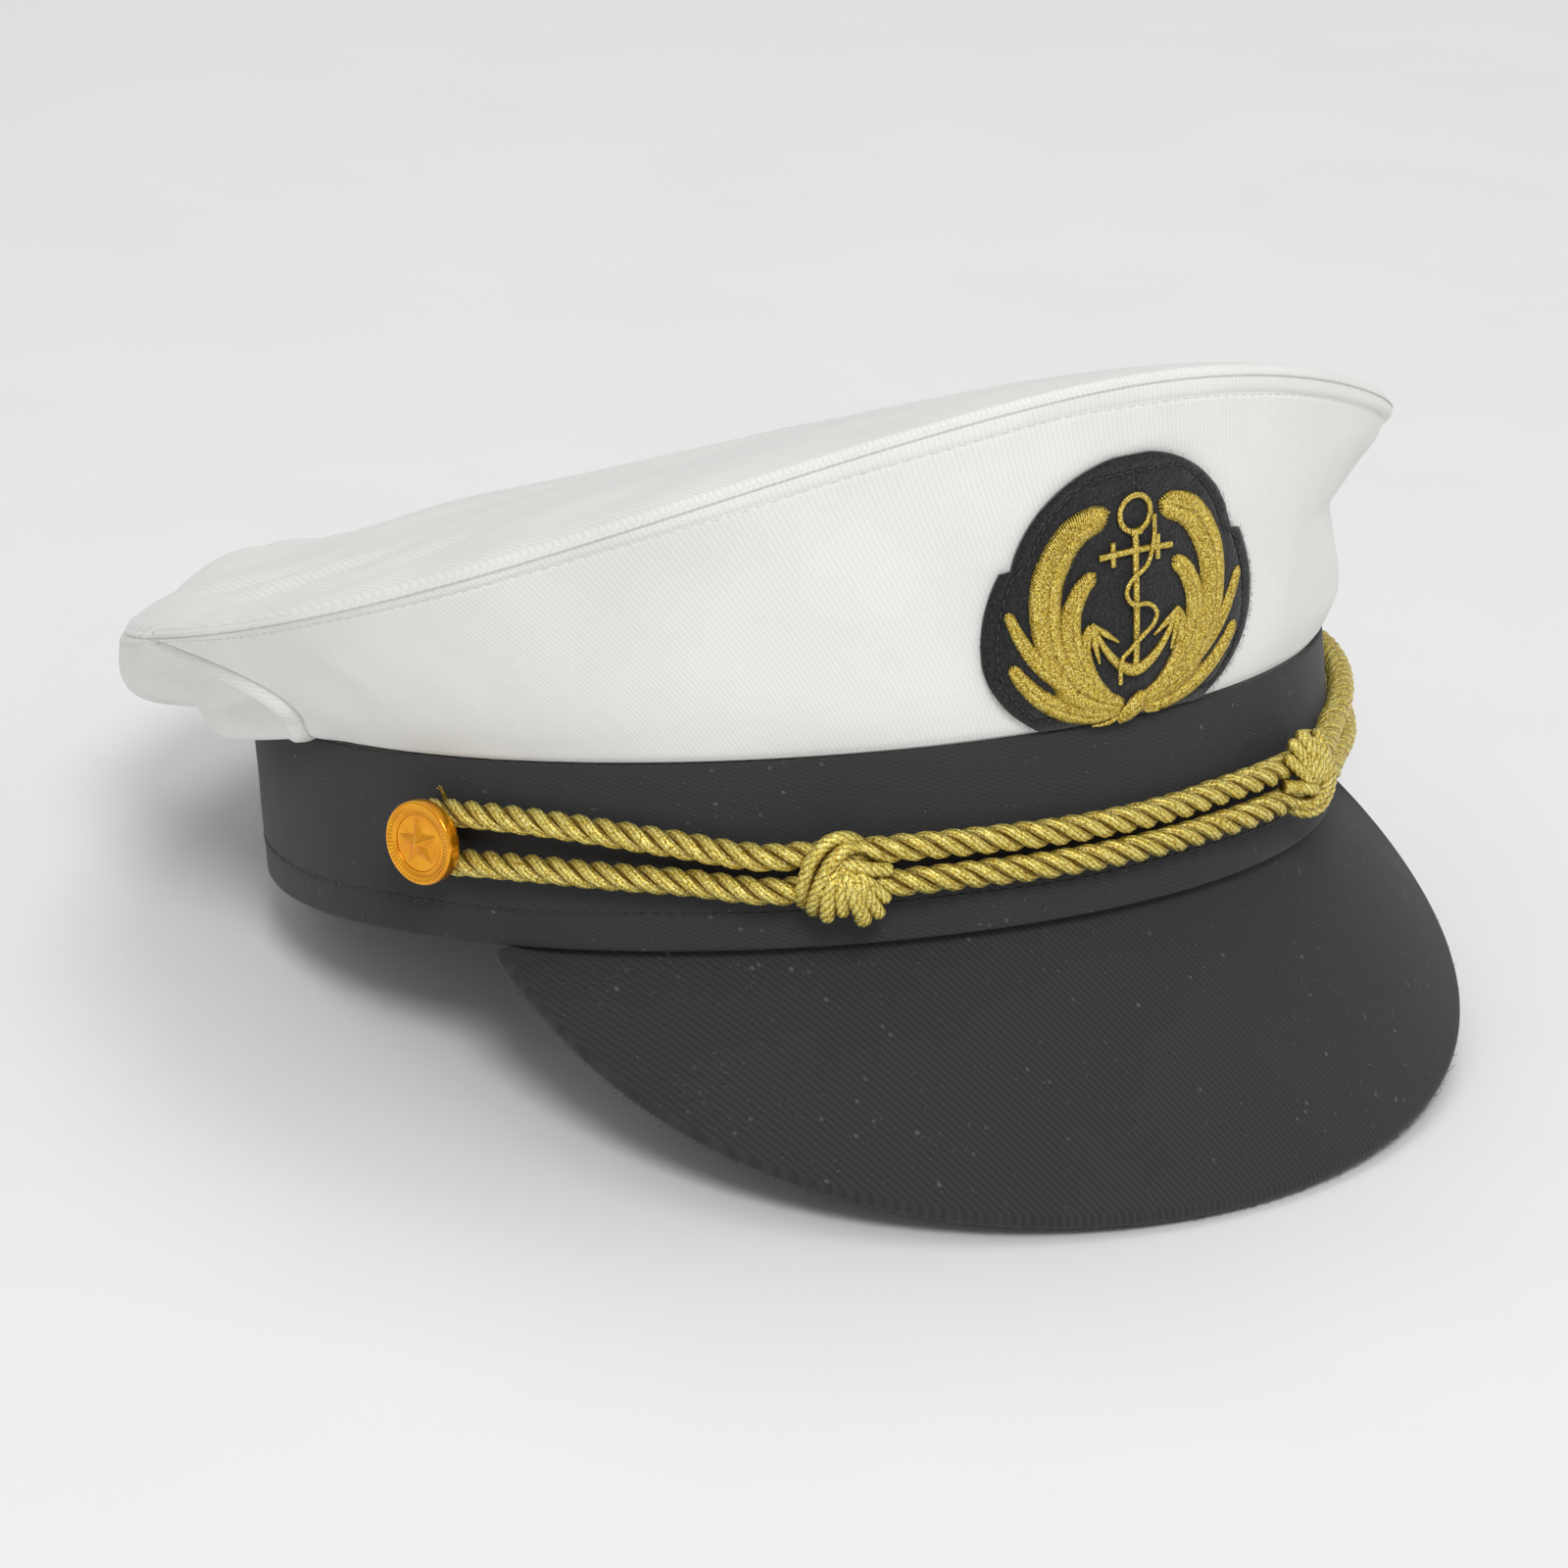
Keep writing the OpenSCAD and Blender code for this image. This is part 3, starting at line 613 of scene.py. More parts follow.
def shank_turn(p, hand):
    """The half turn of a cord round the shank of the button at angle p."""
    return [(p - hand * TURN_R * cos_d(a) * DEG_PER_BAND_MM, BUTTON_Z + hand * TURN_R * sin_d(a))
            for a in range(-90, 91, 30)]


def cord_lift(p):
    """How far the cord's middle lies off the band: more where it passes through a knot."""
    away = min(abs(p - KNOT_RIGHT), abs(p - KNOT_LEFT))
    if away <= 7:
        return KNOT_LIFT
    return 3.4 if away < 11 else CORD_LIFT


def make_cord(name, route, node):
    """Three plies laid round one smooth line; each ply shows its own fine yarns."""
    stations = curve_through([band_point(p, z, cord_lift(p)) for p, z in route], 0.7)
    piece = Piece(name)
    run = distances(stations)
    outs = [band_out(math.degrees(math.atan2(q.y / BAND_B, q.x / BAND_A))) for q in stations]
    for ply in range(3):
        line, sides = [], []
        for k, q in enumerate(stations):
            out, beside = axes_at(stations, outs, k)
            a = 2 * math.pi * (ply / 3 + run[k] / PLY_LAY)
            away = out * math.cos(a) + beside * math.sin(a)
            line.append(q + away * PLY_OUT)
            sides.append(away)
        piece.tube(line, sides, PLY_R, 32, flutes=8, depth=0.12, turn=70.0)
    cord = piece.build("root", CORD_GOLD, [node])
    path = [rest(q) for q in stations[::3] + [stations[-1]]]
    round(distances(path)[-1], 4)


make_cord("chin_cord_right_twist",
          CORD_RIGHT + shank_turn(BUTTON_RIGHT, 1) + CORD_RIGHT_BACK, "chin_cord_right")
make_cord("chin_cord_left_twist",
          CORD_LEFT + shank_turn(BUTTON_LEFT, -1) + CORD_LEFT_BACK, "chin_cord_left")

# ---------- camera ----------
VIEW_AZ, VIEW_EL, VIEW_ROLL, DISTANCE, LENS = -33.6, 12.5, -4.6, 970, 125


def tipped(v):
    return (rest(v) - rest((0, 0, 0))).normalized()


def make_camera():
    """Looks at the band's centre; the angles are measured from the level band."""
    back = Vector((sin_d(VIEW_AZ) * cos_d(VIEW_EL), -cos_d(VIEW_AZ) * cos_d(VIEW_EL),
                   sin_d(VIEW_EL)))
    right = Vector((cos_d(VIEW_AZ), sin_d(VIEW_AZ), 0))
    up = back.cross(right)
    right, up = (right * cos_d(VIEW_ROLL) + up * sin_d(VIEW_ROLL),
                 up * cos_d(VIEW_ROLL) - right * sin_d(VIEW_ROLL))
    data = bpy.data.cameras.new("camera")
    data.lens, data.sensor_width = LENS, 36
    data.shift_x, data.shift_y = -0.0143, 0.0229
    data.clip_start, data.clip_end = 0.05, 20
    camera = put("camera", data)
    turn = Matrix((tipped(right), tipped(up), tipped(back))).transposed().to_4x4()
    camera.matrix_world = Matrix.Translation(rest(back * DISTANCE)) @ turn
    bpy.context.scene.camera = camera


make_camera()


# ---------- knots ----------
# Each turn of a knot: points along the cord, up the band and out of it, its radius, and
# whether it is a cut tail with a round end
KNOT_TURNS = [
    ([(-5.4, -5.2, -2.4), (-6.6, -4.2, 0.8), (-6.2, -1.5, 2.9), (-4.6, 2.4, 3.5),
      (-1.8, 5.2, 2.8), (1.2, 5.4, 1.4), (3.0, 3.8, -1.0), (3.2, 2.0, -2.4)], 1.3, False),
    ([(-4.4, -6.0, -1.2), (-5.0, -5.6, 1.4), (-4.2, -2.8, 3.3), (-2.6, 0.6, 4.0),
      (-0.6, 3.0, 3.7), (1.6, 4.0, 2.4), (3.2, 3.0, 0.2), (3.6, 1.6, -2.0)], 1.3, False),
    ([(-0.6, 1.0, 2.6), (-1.8, -1.2, 3.8), (-2.5, -4.6, 3.6), (-2.9, -7.8, 2.2)], 1.35, True),
    ([(-0.2, 0.8, 2.6), (-0.3, -2.0, 4.2), (-0.3, -4.6, 3.9), (-0.2, -7.0, 2.9)], 1.15, True),
    ([(0.2, 0.8, 2.6), (1.2, -1.8, 4.3), (2.2, -5.0, 3.9), (3.2, -8.8, 2.2)], 1.5, True),
    ([(0.6, 0.8, 2.6), (2.4, -1.4, 4.0), (4.2, -4.4, 3.4), (5.8, -7.8, 1.9)], 1.25, True),
    ([(1.0, 1.0, 2.4), (3.4, -0.8, 3.5), (5.4, -3.0, 2.8), (7.2, -5.4, 1.6)], 1.1, True),
    ([(-0.6, 1.8, 2.6), (2.2, 1.3, 3.7), (5.0, 0.4, 3.0), (7.6, -0.2, 1.2)], 1.2, False)]


def make_knot(name, p, hand, body, node):
    """The cord's own end wrapped round both strands, with its looped tails fanned out."""
    piece = Piece(name)
    middle = band_point(p, KNOT_Z, KNOT_LIFT)
    out = band_out(p)
    along = UP.cross(out)
    for points, size, is_tail in KNOT_TURNS:
        local = curve_through([(hand * x, hand * y, z) for x, y, z in points], 0.35)
        line = [middle + along * q.x + UP * q.y + out * q.z for q in local]
        length = distances(line)[-1]
        radius = (lambda w, s=size, n=length: round_end(w, s, n)) if is_tail else size
        outs = [q - middle + out * 2 for q in line]
        piece.tube(line, outs, radius, 24, flutes=6, depth=0.16, turn=-8.0)
    piece.build(body, CORD_GOLD, [node])


make_knot("knot_right_turns", KNOT_RIGHT, 1, "knot_right", "knot_right")
make_knot("knot_left_turns", KNOT_LEFT, -1, "knot_left", "knot_left")


# ---------- buttons ----------
def button_frame(p):
    """The middle of a button on the band, and its directions right, up and out."""
    out = band_out(p)
    return band_point(p, BUTTON_Z, 0), UP.cross(out), UP, out


# Distances from the middle of the star to its points and to the notches between them
STAR_TIP, STAR_NOTCH = 4.2, 1.75


def star_height(x, y):
    """A faceted five-pointed star: high at its middle and along its five ridges."""
    a = math.atan2(x, y) % (2 * math.pi / 5)
    a = min(a, 2 * math.pi / 5 - a)
    nx, ny = STAR_NOTCH * math.cos(math.pi / 5), STAR_NOTCH * math.sin(math.pi / 5)
    edge = STAR_TIP * ny / ((STAR_TIP - nx) * math.sin(a) + ny * math.cos(a))
    return max(0.0, 1 - math.hypot(x, y) / edge) ** 0.7


# Height of the flat field round the star
FIELD_Z = BUTTON_T - 0.42


def make_button(name, p, body, node):
    """The face, with a milled rim and a raised star, and the post that the cord goes round."""
    piece = Piece(name)
    middle, right, up, out = button_frame(p)
    back = CORD_LIFT + CORD_D / 2 + 0.4
    # the face's section, from the post round the rim to the middle: distance in from the
    # rim, and height under the top
    rim = [(1.0, 3), (0.35, 2.85), (0.05, 2.4), (0, 1.8), (0, 0.7), (0.06, 0.3), (0.25, 0.06),
           (0.5, 0), (0.8, 0.05), (1.15, 0.12), (1.5, 0.1), (1.65, 0.3), (1.8, 0.45),
           (1.95, 0.3), (2.15, 0.2), (2.4, 0.35)]
    section = [(1.0, 0), (4, 0)] + [(BUTTON_D / 2 - r, BUTTON_T - z) for r, z in rim]
    section += [(5 - 0.3 * k, FIELD_Z) for k in range(16)] + [(0.25, FIELD_Z), (0.02, FIELD_Z)]
    rows = []
    for i in range(240):
        a = math.pi * i / 120
        row = []
        for k, (r, z) in enumerate(section):
            x, y = r * math.sin(a), r * math.cos(a)
            if 9 <= k <= 12:
                z -= 0.28 * max(0.0, math.cos(60 * a)) ** 2 * (1 if k in (10, 11) else 0.4)
            if r < 4.6 and k > 17:
                z += star_height(x, y)
            row.append(middle + right * x + up * y + out * (back + z))
        rows.append(row)
    piece.grid(rows, lambda i, j: (j * 0.5, i * 0.2), around=True)
    post = [middle + out * mix(0.8, back + 0.2, k / 8) for k in range(9)]
    piece.tube(post, [up] * 9, 1.0, 20)
    piece.build(body, BUTTON_GOLD, [node], weld=0.06)


def make_button_thread(name, p, node):
    """The sewing thread through the post's eye, and its two cut ends above the button."""
    piece = Piece(name)
    middle, right, up, out = button_frame(p)
    legs = [(0, -1.4, 0), (0, -1.45, 1.2), (0, -1.3, 2.2), (0, 0, 2.4), (0, 1.3, 2.2),
            (0, 1.45, 1.2), (0, 1.4, 0)]
    ends = [[(0.4, 1.6, 0.2), (0.5, 5.0, 0.5), (0.4, 7.4, 1.4), (0.9, 8.2, 2.2)],
            [(0.0, 1.6, 0.2), (-0.3, 5.0, 0.5), (-0.2, 7.3, 1.2), (-0.6, 7.9, 1.8)],
            [(0.2, 1.6, 0.2), (0.2, 5.0, 0.6), (0.3, 7.5, 1.6), (0.2, 8.4, 2.0)],
            [(0.3, -1.6, 0.2), (0.6, -5.0, 0.4), (0.9, -6.8, 0.6), (1.2, -7.4, 0.8)]]
    for points in [legs] + ends:
        line = curve_through(points, 0.3)
        line = [middle + right * q.x + up * q.y + out * q.z for q in line]
        size = 0.24 if points is legs else 0.15
        piece.tube(line, [out + right * 0.01] * len(line), size, 8, flutes=3, depth=0.2, turn=1.4)
    piece.build("root", THREAD_GOLD, [node])


for hand, angle in (("right", BUTTON_RIGHT), ("left", BUTTON_LEFT)):
    make_button(f"button_{hand}_face", angle, f"button_{hand}", f"button_{hand}")
    make_button_thread(f"button_{hand}_stitches", angle, f"button_thread_{hand}")


# ---------- stitches and loose fibres ----------
def stitch_row(piece, place, count, share, size, sink):
    """count stitches along place(w), w from 0 to 1; place gives a point and its outside."""
    for k in range(count):
        line, outs = [], []
        for s in spaced(0, 1, 4):
            point, out = place((k + 0.5 + (s - 0.5) * share) / count)
            arch = math.sin(math.pi * s)
            line.append(point + out * (size * (arch * 1.1 - sink)))
            outs.append(out)
        piece.tube(line, outs, size, 6)


# Half the thickness of a fibre of lint
LINT_R = 0.018


def fibre(piece, foot, out, length, size):
    """One short curled fibre lying near the surface."""
    flat = Vector((random.uniform(-1, 1), random.uniform(-1, 1), random.uniform(-1, 1)))
    flat = (flat - out * flat.dot(out) * 0.8).normalized()
    curl = flat.cross(out) * random.uniform(-0.6, 0.6)
    line = [foot + (flat * (s / 4) + curl * (s / 4) ** 2) * length
            + out * (size + length * 0.25 * math.sin(math.pi * s / 5)) for s in range(5)]
    piece.tube(line, [out] * 5, size, 4)


# ---------- band ----------
BAND_SEAM, HEM_Z = 90, 6.2


def band_relief(p, z):
    """Small unevenness of the band's cloth, the pinched seam and the hem stitch's groove."""
    q = band_point(p, z)
    relief = 0.22 * rough(q, 26, 1) + 0.08 * rough(q, 7, 2)
    relief -= 0.4 * bump_at(p, BAND_SEAM, 0.35) - 0.15 * bump_at(p, BAND_SEAM, 1.4)
    return relief - 0.16 * bump_at(z, HEM_Z, 0.8)


def make_band():
    """A tube of twill turned in over the stiffener at both edges."""
    heights = [0.5 + 0.75 * k for k in range(41)]
    profile = [(0.02, -0.25)] + [(z, 0) for z in heights if z < BAND_H - 0.4] + [
        (BAND_H - 0.15, -0.08), (BAND_H, -0.4), (BAND_H - 0.15, -0.72), (BAND_H - 1, -0.8),
        (20, -0.8), (10, -0.8), (1, -0.8), (0.1, -0.7)]
    # a step to a degree, and closer together beside the seam
    angles = sorted({float(p) for p in range(360)}
                    | {BAND_SEAM + k * 0.1 for k in range(-12, 13)})
    rows = [[band_point(p, z, d + (band_relief(p, z) if d > -0.1 else 0)) for z, d in profile]
            for p in angles]
    angles.append(360.0)
    piece = Piece("band_cloth")
    piece.grid(rows, lambda i, j: (band_side(angles[i]), profile[j % len(profile)][0]),
               around=True, tube=True)
    piece.build("root", BAND_TWILL, ["band_cover"])


def make_band_trim():
    """The hem's row of stitches, and pale lint caught on the cloth."""
    hem = Piece("band_hem_stitches")

    def along(w):
        p = 360 * w
        z = HEM_Z + 0.18 * math.sin(p * 0.21)
        return band_point(p, z, band_relief(p, z)), band_out(p)

    stitch_row(hem, along, 235, 0.72, 0.17, 0.15)
    hem.build("root", BLACK_THREAD)
    lint = Piece("band_lint")
    for _ in range(170):
        p, z = random.uniform(0, 360), random.uniform(1.5, 29.5)
        foot = band_point(p, z, band_relief(p, z))
        fibre(lint, foot, band_out(p), random.uniform(0.3, 0.9), LINT_R)
    lint.build("root", LINT)


make_band()
make_band_trim()


# ---------- crown ----------
# How far forward the side seams lean between the rim and the band, in degrees
SIDE_LEAN = 9.5
SEAMS = ((180 - SIDE_SEAM, 1), (SIDE_SEAM, -1))


def lean(p, t):
    """The angle of a side-panel point, its side seams leaning forward towards the band."""
    for seam, hand in SEAMS:
        away = abs((p - seam + 180) % 360 - 180)
        forward = SIDE_LEAN * (1 - t * t) + 4.5 * math.sin(math.pi * t) ** 2
        p += hand * forward * (1 - smooth(away / 42))
    return p


def side_relief(p, t):
    """How far the side panels' cloth stands out from their plain surface."""
    q = side_face(p, t)
    edge = smooth(t / 0.12) * smooth((1 - t) / 0.05)
    back = smooth((sin_d(p) + 0.25) / 0.8)
    relief = edge * (0.5 * rough(q, 34, 3) + 0.15 * rough(q, 11, 4))
    relief += edge * back * 1.3 * rough(Vector((p * 0.9, t * 18, 0)), 12, 5)
    # the tuck beside the side seam on the wearer's right, and the same on the left
    for seam, hand in SEAMS:
        behind = (seam - p) * hand
        if -14 < behind < 34:
            middle = math.sin(math.pi * clamp(t)) ** 0.7
            relief += 2.3 * bump_at(behind, 1.6, 2.4) * middle
            deep = 4.6 if hand > 0 else 1.5
            relief -= deep * bump_at(behind, 8.5, 7) * bump_at(t, 0.5, 0.38)
    # the crease across the wearer's left of the front panel, and the fullness under it
    left = left_angle(p)
    crease = smooth((left - 292) / 17) * (1 - smooth((left - 380) / 26))
    relief -= crease * 4.6 * max(0.0, 1 - abs(t - 0.5) / 0.34) ** 1.3
    relief += crease * 0.7 * bump_at(t, 0.18, 0.2)
    # welt: the cloth closes in on the top seam, over the seam's allowance
    full = 0.6 + 2.0 * rim_turn(p)
    relief += 0.25 * full * bump_at(t, 0.967, 0.03)
    relief -= 0.3 * smooth((t - 0.988) / 0.012)
    relief -= 0.5 * (1 - smooth(t / 0.03))
    relief -= 0.2 * full * bump_at(t, TOPSTITCH, 0.014)
    return relief


def left_angle(p):
    """The angle p counted on without a break round the wearer's left."""
    return p if p > 180 else p + 360


def rim_turn(p):
    """1 where the rim is soft and rolls over, at the wearer's left of the front."""
    left = left_angle(p)
    soft = smooth((left - 262) / 55) * (1 - smooth((left - 345) / 60))
    return soft + 0.75 * bump_at(left, 352, 32)


def rim_droop(p, near):
    """How the soft part of the rim sinks; near is 0 well inside it and 1 at its seam."""
    return (UP * -4.6 - band_out(p) * 1.2) * (rim_turn(p) * near)


def side_droop(p, t):
    return rim_droop(p, smooth((t - 0.62) / 0.38))


def top_droop(p, r):
    return rim_droop(p, clamp((r - 0.6) / 0.4) ** 2)


def overhang(p, t):
    """The slack cloth behind each side seam that hangs over the band."""
    moved = Vector((0, 0, 0))
    for seam, hand in SEAMS:
        full = bump_at((seam - p) * hand, 15, 22) * smooth(t / 0.03)
        moved += band_out(p) * (3.6 * full * bump_at(t, 0.12, 0.17))
        moved -= UP * (4.2 * full * bump_at(t, 0.1, 0.13))
    return moved


def crown_side(p, t, lift=0.0):
    point = side_point(lean(p, t), t, lift + side_relief(p, t))
    point += overhang(p, t) + side_droop(p, t)
    return point - UP * (0.27 * (1 - smooth(t / 0.03)))


def under_side(p, t, depth):
    """A point that lies depth under the side cloth's outer face wherever it caves in."""
    point = side_point(lean(p, t), t, min(side_relief(p, t), 0) - depth)
    return point + overhang(p, t) * 0.8 + side_droop(p, t)


# Heights up a side panel, closer together at its seams
SIDE_STEPS = spaced(0, 0.02, 5) + spaced(0.03, 0.91, 46) + spaced(0.92, 1.0, 22)
# Cloth millimetres to a degree round the crown
MM_PER_DEG = 1.85


def side_panel(name, start, stop, node):
    """A side panel of real thickness, with its seam allowances turned in at both ends."""
    angles = spaced(start, stop, round((stop - start) / 0.9))
    rows = []
    for p in angles:
        tuck = -0.55 * (1 - smooth(min(p - start, stop - p) / 0.5))
        rows.append([crown_side(p, t, tuck) for t in SIDE_STEPS]
                    + [under_side(p, t, CROWN_T) for t in reversed(SIDE_STEPS)])
    piece = Piece(name)
    piece.slab(rows, lambda i, j: (angles[i] * MM_PER_DEG,
                                   SIDE_STEPS[out_and_back(j, len(SIDE_STEPS))] * SIDE_LEN))
    piece.build("root", CROWN_SIDE_TWILL, [node])


def flat_place(p, r):
    """A point of the round top panel, laid flat."""
    return Vector((CROWN_A * r * cos_d(p), CROWN_B * r * sin_d(p), 0))


def round_panel(name, step, radii, outer, inner, material, node):
    """A round sheet: each row runs in to the middle and back out inside the sheet."""
    both = radii + radii[-2::-1]
    rows = [[outer(p, r) for r in radii] + [inner(p, r) for r in radii[-2::-1]]
            for p in range(0, 360, step)]
    piece = Piece(name)
    piece.grid(rows, lambda i, j: flat_place(i * step, both[j % len(both)])[:2],
               around=True, tube=True)
    piece.build("root", material, [node], weld=0.02)


def top_relief(p, r):
    """Soft folds of the top panel, strongest where the crown slumps at the back."""
    q = flat_place(p, r)
    slack = smooth((q.y + 30) / 120) * smooth((70 - q.x) / 120)
    across = Vector((q.x * 0.85 + q.y * 0.5, (q.y * 0.85 - q.x * 0.5) * 0.35, 0))
    relief = 0.9 * rough(q, 60, 6) + 0.25 * rough(q, 18, 7)
    relief += slack * 2.8 * rough(across, 15, 8)
    relief += 4.4 * bump_at(p, 128, 46) * bump_at(r, 0.85, 0.17)
    for middle, deep in ((176, 2.2), (160, 1.5), (194, 1.1)):
        relief -= deep * bump_at(p, middle + 70 * (0.9 - r), 6) * bump_at(r, 0.82, 0.16)
    return max(relief, -1.6) * smooth((1 - r) / 0.06)


def crown_top(p, r, lift):
    """The top panel: near its edge it rolls down into the seam."""
    roll = smooth((r - 0.986) / 0.014)
    point = top_point(p, r, lift + top_relief(p, r) - roll * (CROWN_T + GAP + 0.5))
    return point + top_droop(p, r)


def crown_top_under(p, r):
    return top_point(p, r * 0.996, GAP + min(top_relief(p, r), 0)) + top_droop(p, r)


# How far up the side panels the topstitch runs, and how far out the lining reaches
TOPSTITCH, LINING_EDGE = 0.945, 0.94


def make_crown_stitches():
    """The topstitch just under the top seam."""
    piece = Piece("crown_topstitch")

    def along(w):
        p = 360 * w
        t = TOPSTITCH + 0.004 * math.sin(p * 0.13) + 0.002 * math.sin(p * 0.37)
        return crown_side(p, t), side_out(p, t)

    stitch_row(piece, along, 300, 0.66, 0.12, 0.8)
    piece.build("root", WHITE_THREAD)


side_panel("crown_front_cloth", 180 - SIDE_SEAM, 360 + SIDE_SEAM, "crown_front_panel")
side_panel("crown_back_cloth", SIDE_SEAM + 0.2, 180 - SIDE_SEAM - 0.2, "crown_back_panel")
round_panel("crown_top_cloth", 1,
            [1.0, 0.998, 0.995, 0.991, 0.987, 0.983, 0.978, 0.972, 0.965]
            + [0.955 - 0.02 * k for k in range(47)] + [0.0],
            lambda p, r: crown_top(p, r, CROWN_T + GAP), crown_top_under,
            CROWN_TOP_TWILL, "crown_top")
make_crown_stitches()


# ---------- lining and sweatband ----------
def make_side_lining():
    heights = spaced(0.1, 0.9, 20)
    rows = []
    for p in range(0, 360, 2):
        slack = [0.5 + 0.45 * rough(side_face(p, t), 16, 9) for t in heights]
        outer = [under_side(p, t, LINING_IN + 0.4 * d) for t, d in zip(heights, slack)]
        inner = [under_side(p, t, LINING_IN + FABRIC_T + 0.9 * d) for t, d in zip(heights, slack)]
        rows.append(outer + inner[::-1])
    piece = Piece("lining_side_cloth")
    piece.grid(rows, lambda i, j: (i * 3.6, heights[out_and_back(j, 21)] * SIDE_LEN),
               around=True, tube=True)
    piece.build("root", LINING_CLOTH, ["lining_side"])


def top_lining(p, r, depth):
    """The top lining at the given depth under the top panel, sagging a little."""
    q = top_point(p, r, 0)
    sag = (1.2 * rough(q, 30, 10) + 0.4 * rough(q, 10, 11)) * smooth((LINING_EDGE - r) / 0.1)
    return top_point(p, r, -depth + min(sag, 0.8)) + top_droop(p, r)


def make_stay():
    """The stiff sheet between the front panel and the lining."""
    heights = spaced(0.08, 0.9, 24)
    rows = []
    for p in spaced(225, 315, 60):
        rows.append([under_side(p, t, STAY_IN) for t in heights]
                    + [under_side(p, t, STAY_IN + BOARD_T) for t in reversed(heights)])
    piece = Piece("front_stay_sheet")
    piece.slab(rows, lambda i, j: (i, j))
    piece.build("root", STIFFENER, ["front_stay"])


def make_sweatband():
    """The inner band, folded at its lower edge and stitched along both edges."""
    profile = [(0.35, 0.15), (0.9, 0.0), (8, 0.0), (16, 0.0), (24, 0.0), (30.2, 0.0),
               (30.6, 0.3), (30.6, 0.8), (30.2, 1.0), (26, 1.0), (22, 1.05), (18, 1.1),
               (14, 1.12), (10, 1.1), (6, 1.05), (3, 1.0), (1.2, 1.0), (0.5, 0.8)]
    rows = []
    for p in range(360):
        rows.append([band_point(p, z, -SWEAT_IN - d - (0.15 * rough(band_point(p, z), 14, 12)
                                                       if d > 0.9 else 0))
                     for z, d in profile])
    piece = Piece("sweatband_cloth")
    piece.grid(rows, lambda i, j: (band_side(i), profile[j % len(profile)][0]),
               around=True, tube=True)
    piece.build("root", SWEAT_CLOTH, ["sweatband"])
    stitches = Piece("sweatband_stitches")
    for z in (2.2, 28.6):
        def along(w, z=z):
            return band_point(360 * w, z, -BAND_TOTAL - 0.05), -band_out(360 * w)
        stitch_row(stitches, along, 190, 0.7, 0.16, 0.3)
    stitches.build("root", WHITE_THREAD)


make_side_lining()
round_panel("lining_top_cloth", 2, [LINING_EDGE - 0.02 * k for k in range(47)] + [0.0],
            lambda p, r: top_lining(p, r, LINING_IN),
            lambda p, r: top_lining(p, r, LINING_IN + FABRIC_T),
            LINING_CLOTH, "lining_top")
make_stay()
make_sweatband()


# ---------- visor ----------
# Radius of the visor's inner edge when its cloth is laid out flat
FLAT_R = 150
# How far out the covers lie flat before they roll round the board's edge
SPREAD = 0.982
COVER_STEPS, ROLL_STEPS = 60, 6


def rim_out(u):
    return (visor_face(u, 1.0) - visor_face(u, 0.97)).normalized()


def rim_middle(u):
    """The middle of the visor's thickness where its covers begin to roll."""
    return visor_face(u, SPREAD) - visor_up(u, SPREAD) * (VISOR_T / 2)


def visor_cover(name, top, material, node):
    """One visor cover; at the rim it rolls over the board to meet the other cover."""
    half = VISOR_T / 2
    rows = []
    us = [math.sin(w * math.pi / 2) for w in spaced(-1, 1, 220)]
    for u in us:
        outer, inner = [], []
        for k in range(COVER_STEPS + 1):
            v = SPREAD * k / COVER_STEPS
            q, up = visor_face(u, v), visor_up(u, v)
            wave = (0.16 * rough(q, 30, 13) + 0.05 * rough(q, 8, 14)) * smooth((1 - abs(u)) / 0.03)
            outer.append(q - up * ((0 if top else VISOR_T) - wave))
            inner.append(q - up * (FABRIC_T if top else VISOR_T - FABRIC_T))
        centre, up, out = rim_middle(u), visor_up(u, SPREAD), rim_out(u)
        for k in range(1, ROLL_STEPS + 1):
            a = math.radians(90 - 15 * k + (2 if k == ROLL_STEPS else 0))
            away = up * (math.sin(a) * (1 if top else -1)) + out * math.cos(a)
            outer.append(centre + away * half)
            inner.append(centre + away * (half - FABRIC_T))
        rows.append(outer + inner[::-1])

    def weave(i, j):
        w = min(out_and_back(j, COVER_STEPS + 7) / COVER_STEPS, 1)
        reach = (visor_face(us[i], SPREAD * w) - visor_face(us[i], 0)).length + FLAT_R
        turn = math.radians(us[i] * VISOR_HALF) * BAND_B / FLAT_R
        return (reach * math.sin(turn), -reach * math.cos(turn))

    piece = Piece(name)
    piece.slab(rows, weave)
    piece.build("root", material, [node])


def make_visor_lint():
    piece = Piece("visor_lint")
    for _ in range(260):
        u, v = random.uniform(-0.9, 0.9), random.uniform(0.08, 0.96)
        fibre(piece, visor_face(u, v), visor_up(u, v), random.uniform(0.25, 0.8), LINT_R)
    piece.build("root", LINT)
    # the frayed fibres along the rim, where the two covers meet
    fuzz = Piece("visor_rim_fuzz")
    for _ in range(260):
        u = random.uniform(-0.96, 0.96)
        out = rim_out(u)
        fibre(fuzz, rim_middle(u) + out * (VISOR_T / 2), out, random.uniform(0.5, 1.4), 0.03)
    fuzz.build("root", BLACK_THREAD)


visor_cover("visor_top_cloth", True, VISOR_TWILL, "visor_top_cover")
visor_cover("visor_under_cloth", False, VISOR_LINING, "visor_under_cover")
make_visor_lint()


# ---------- badge ----------
# How far inside the felt's edge its running stitch lies, and the step along its thread
STITCH_IN, THREAD_STEP = 2.6, 0.36


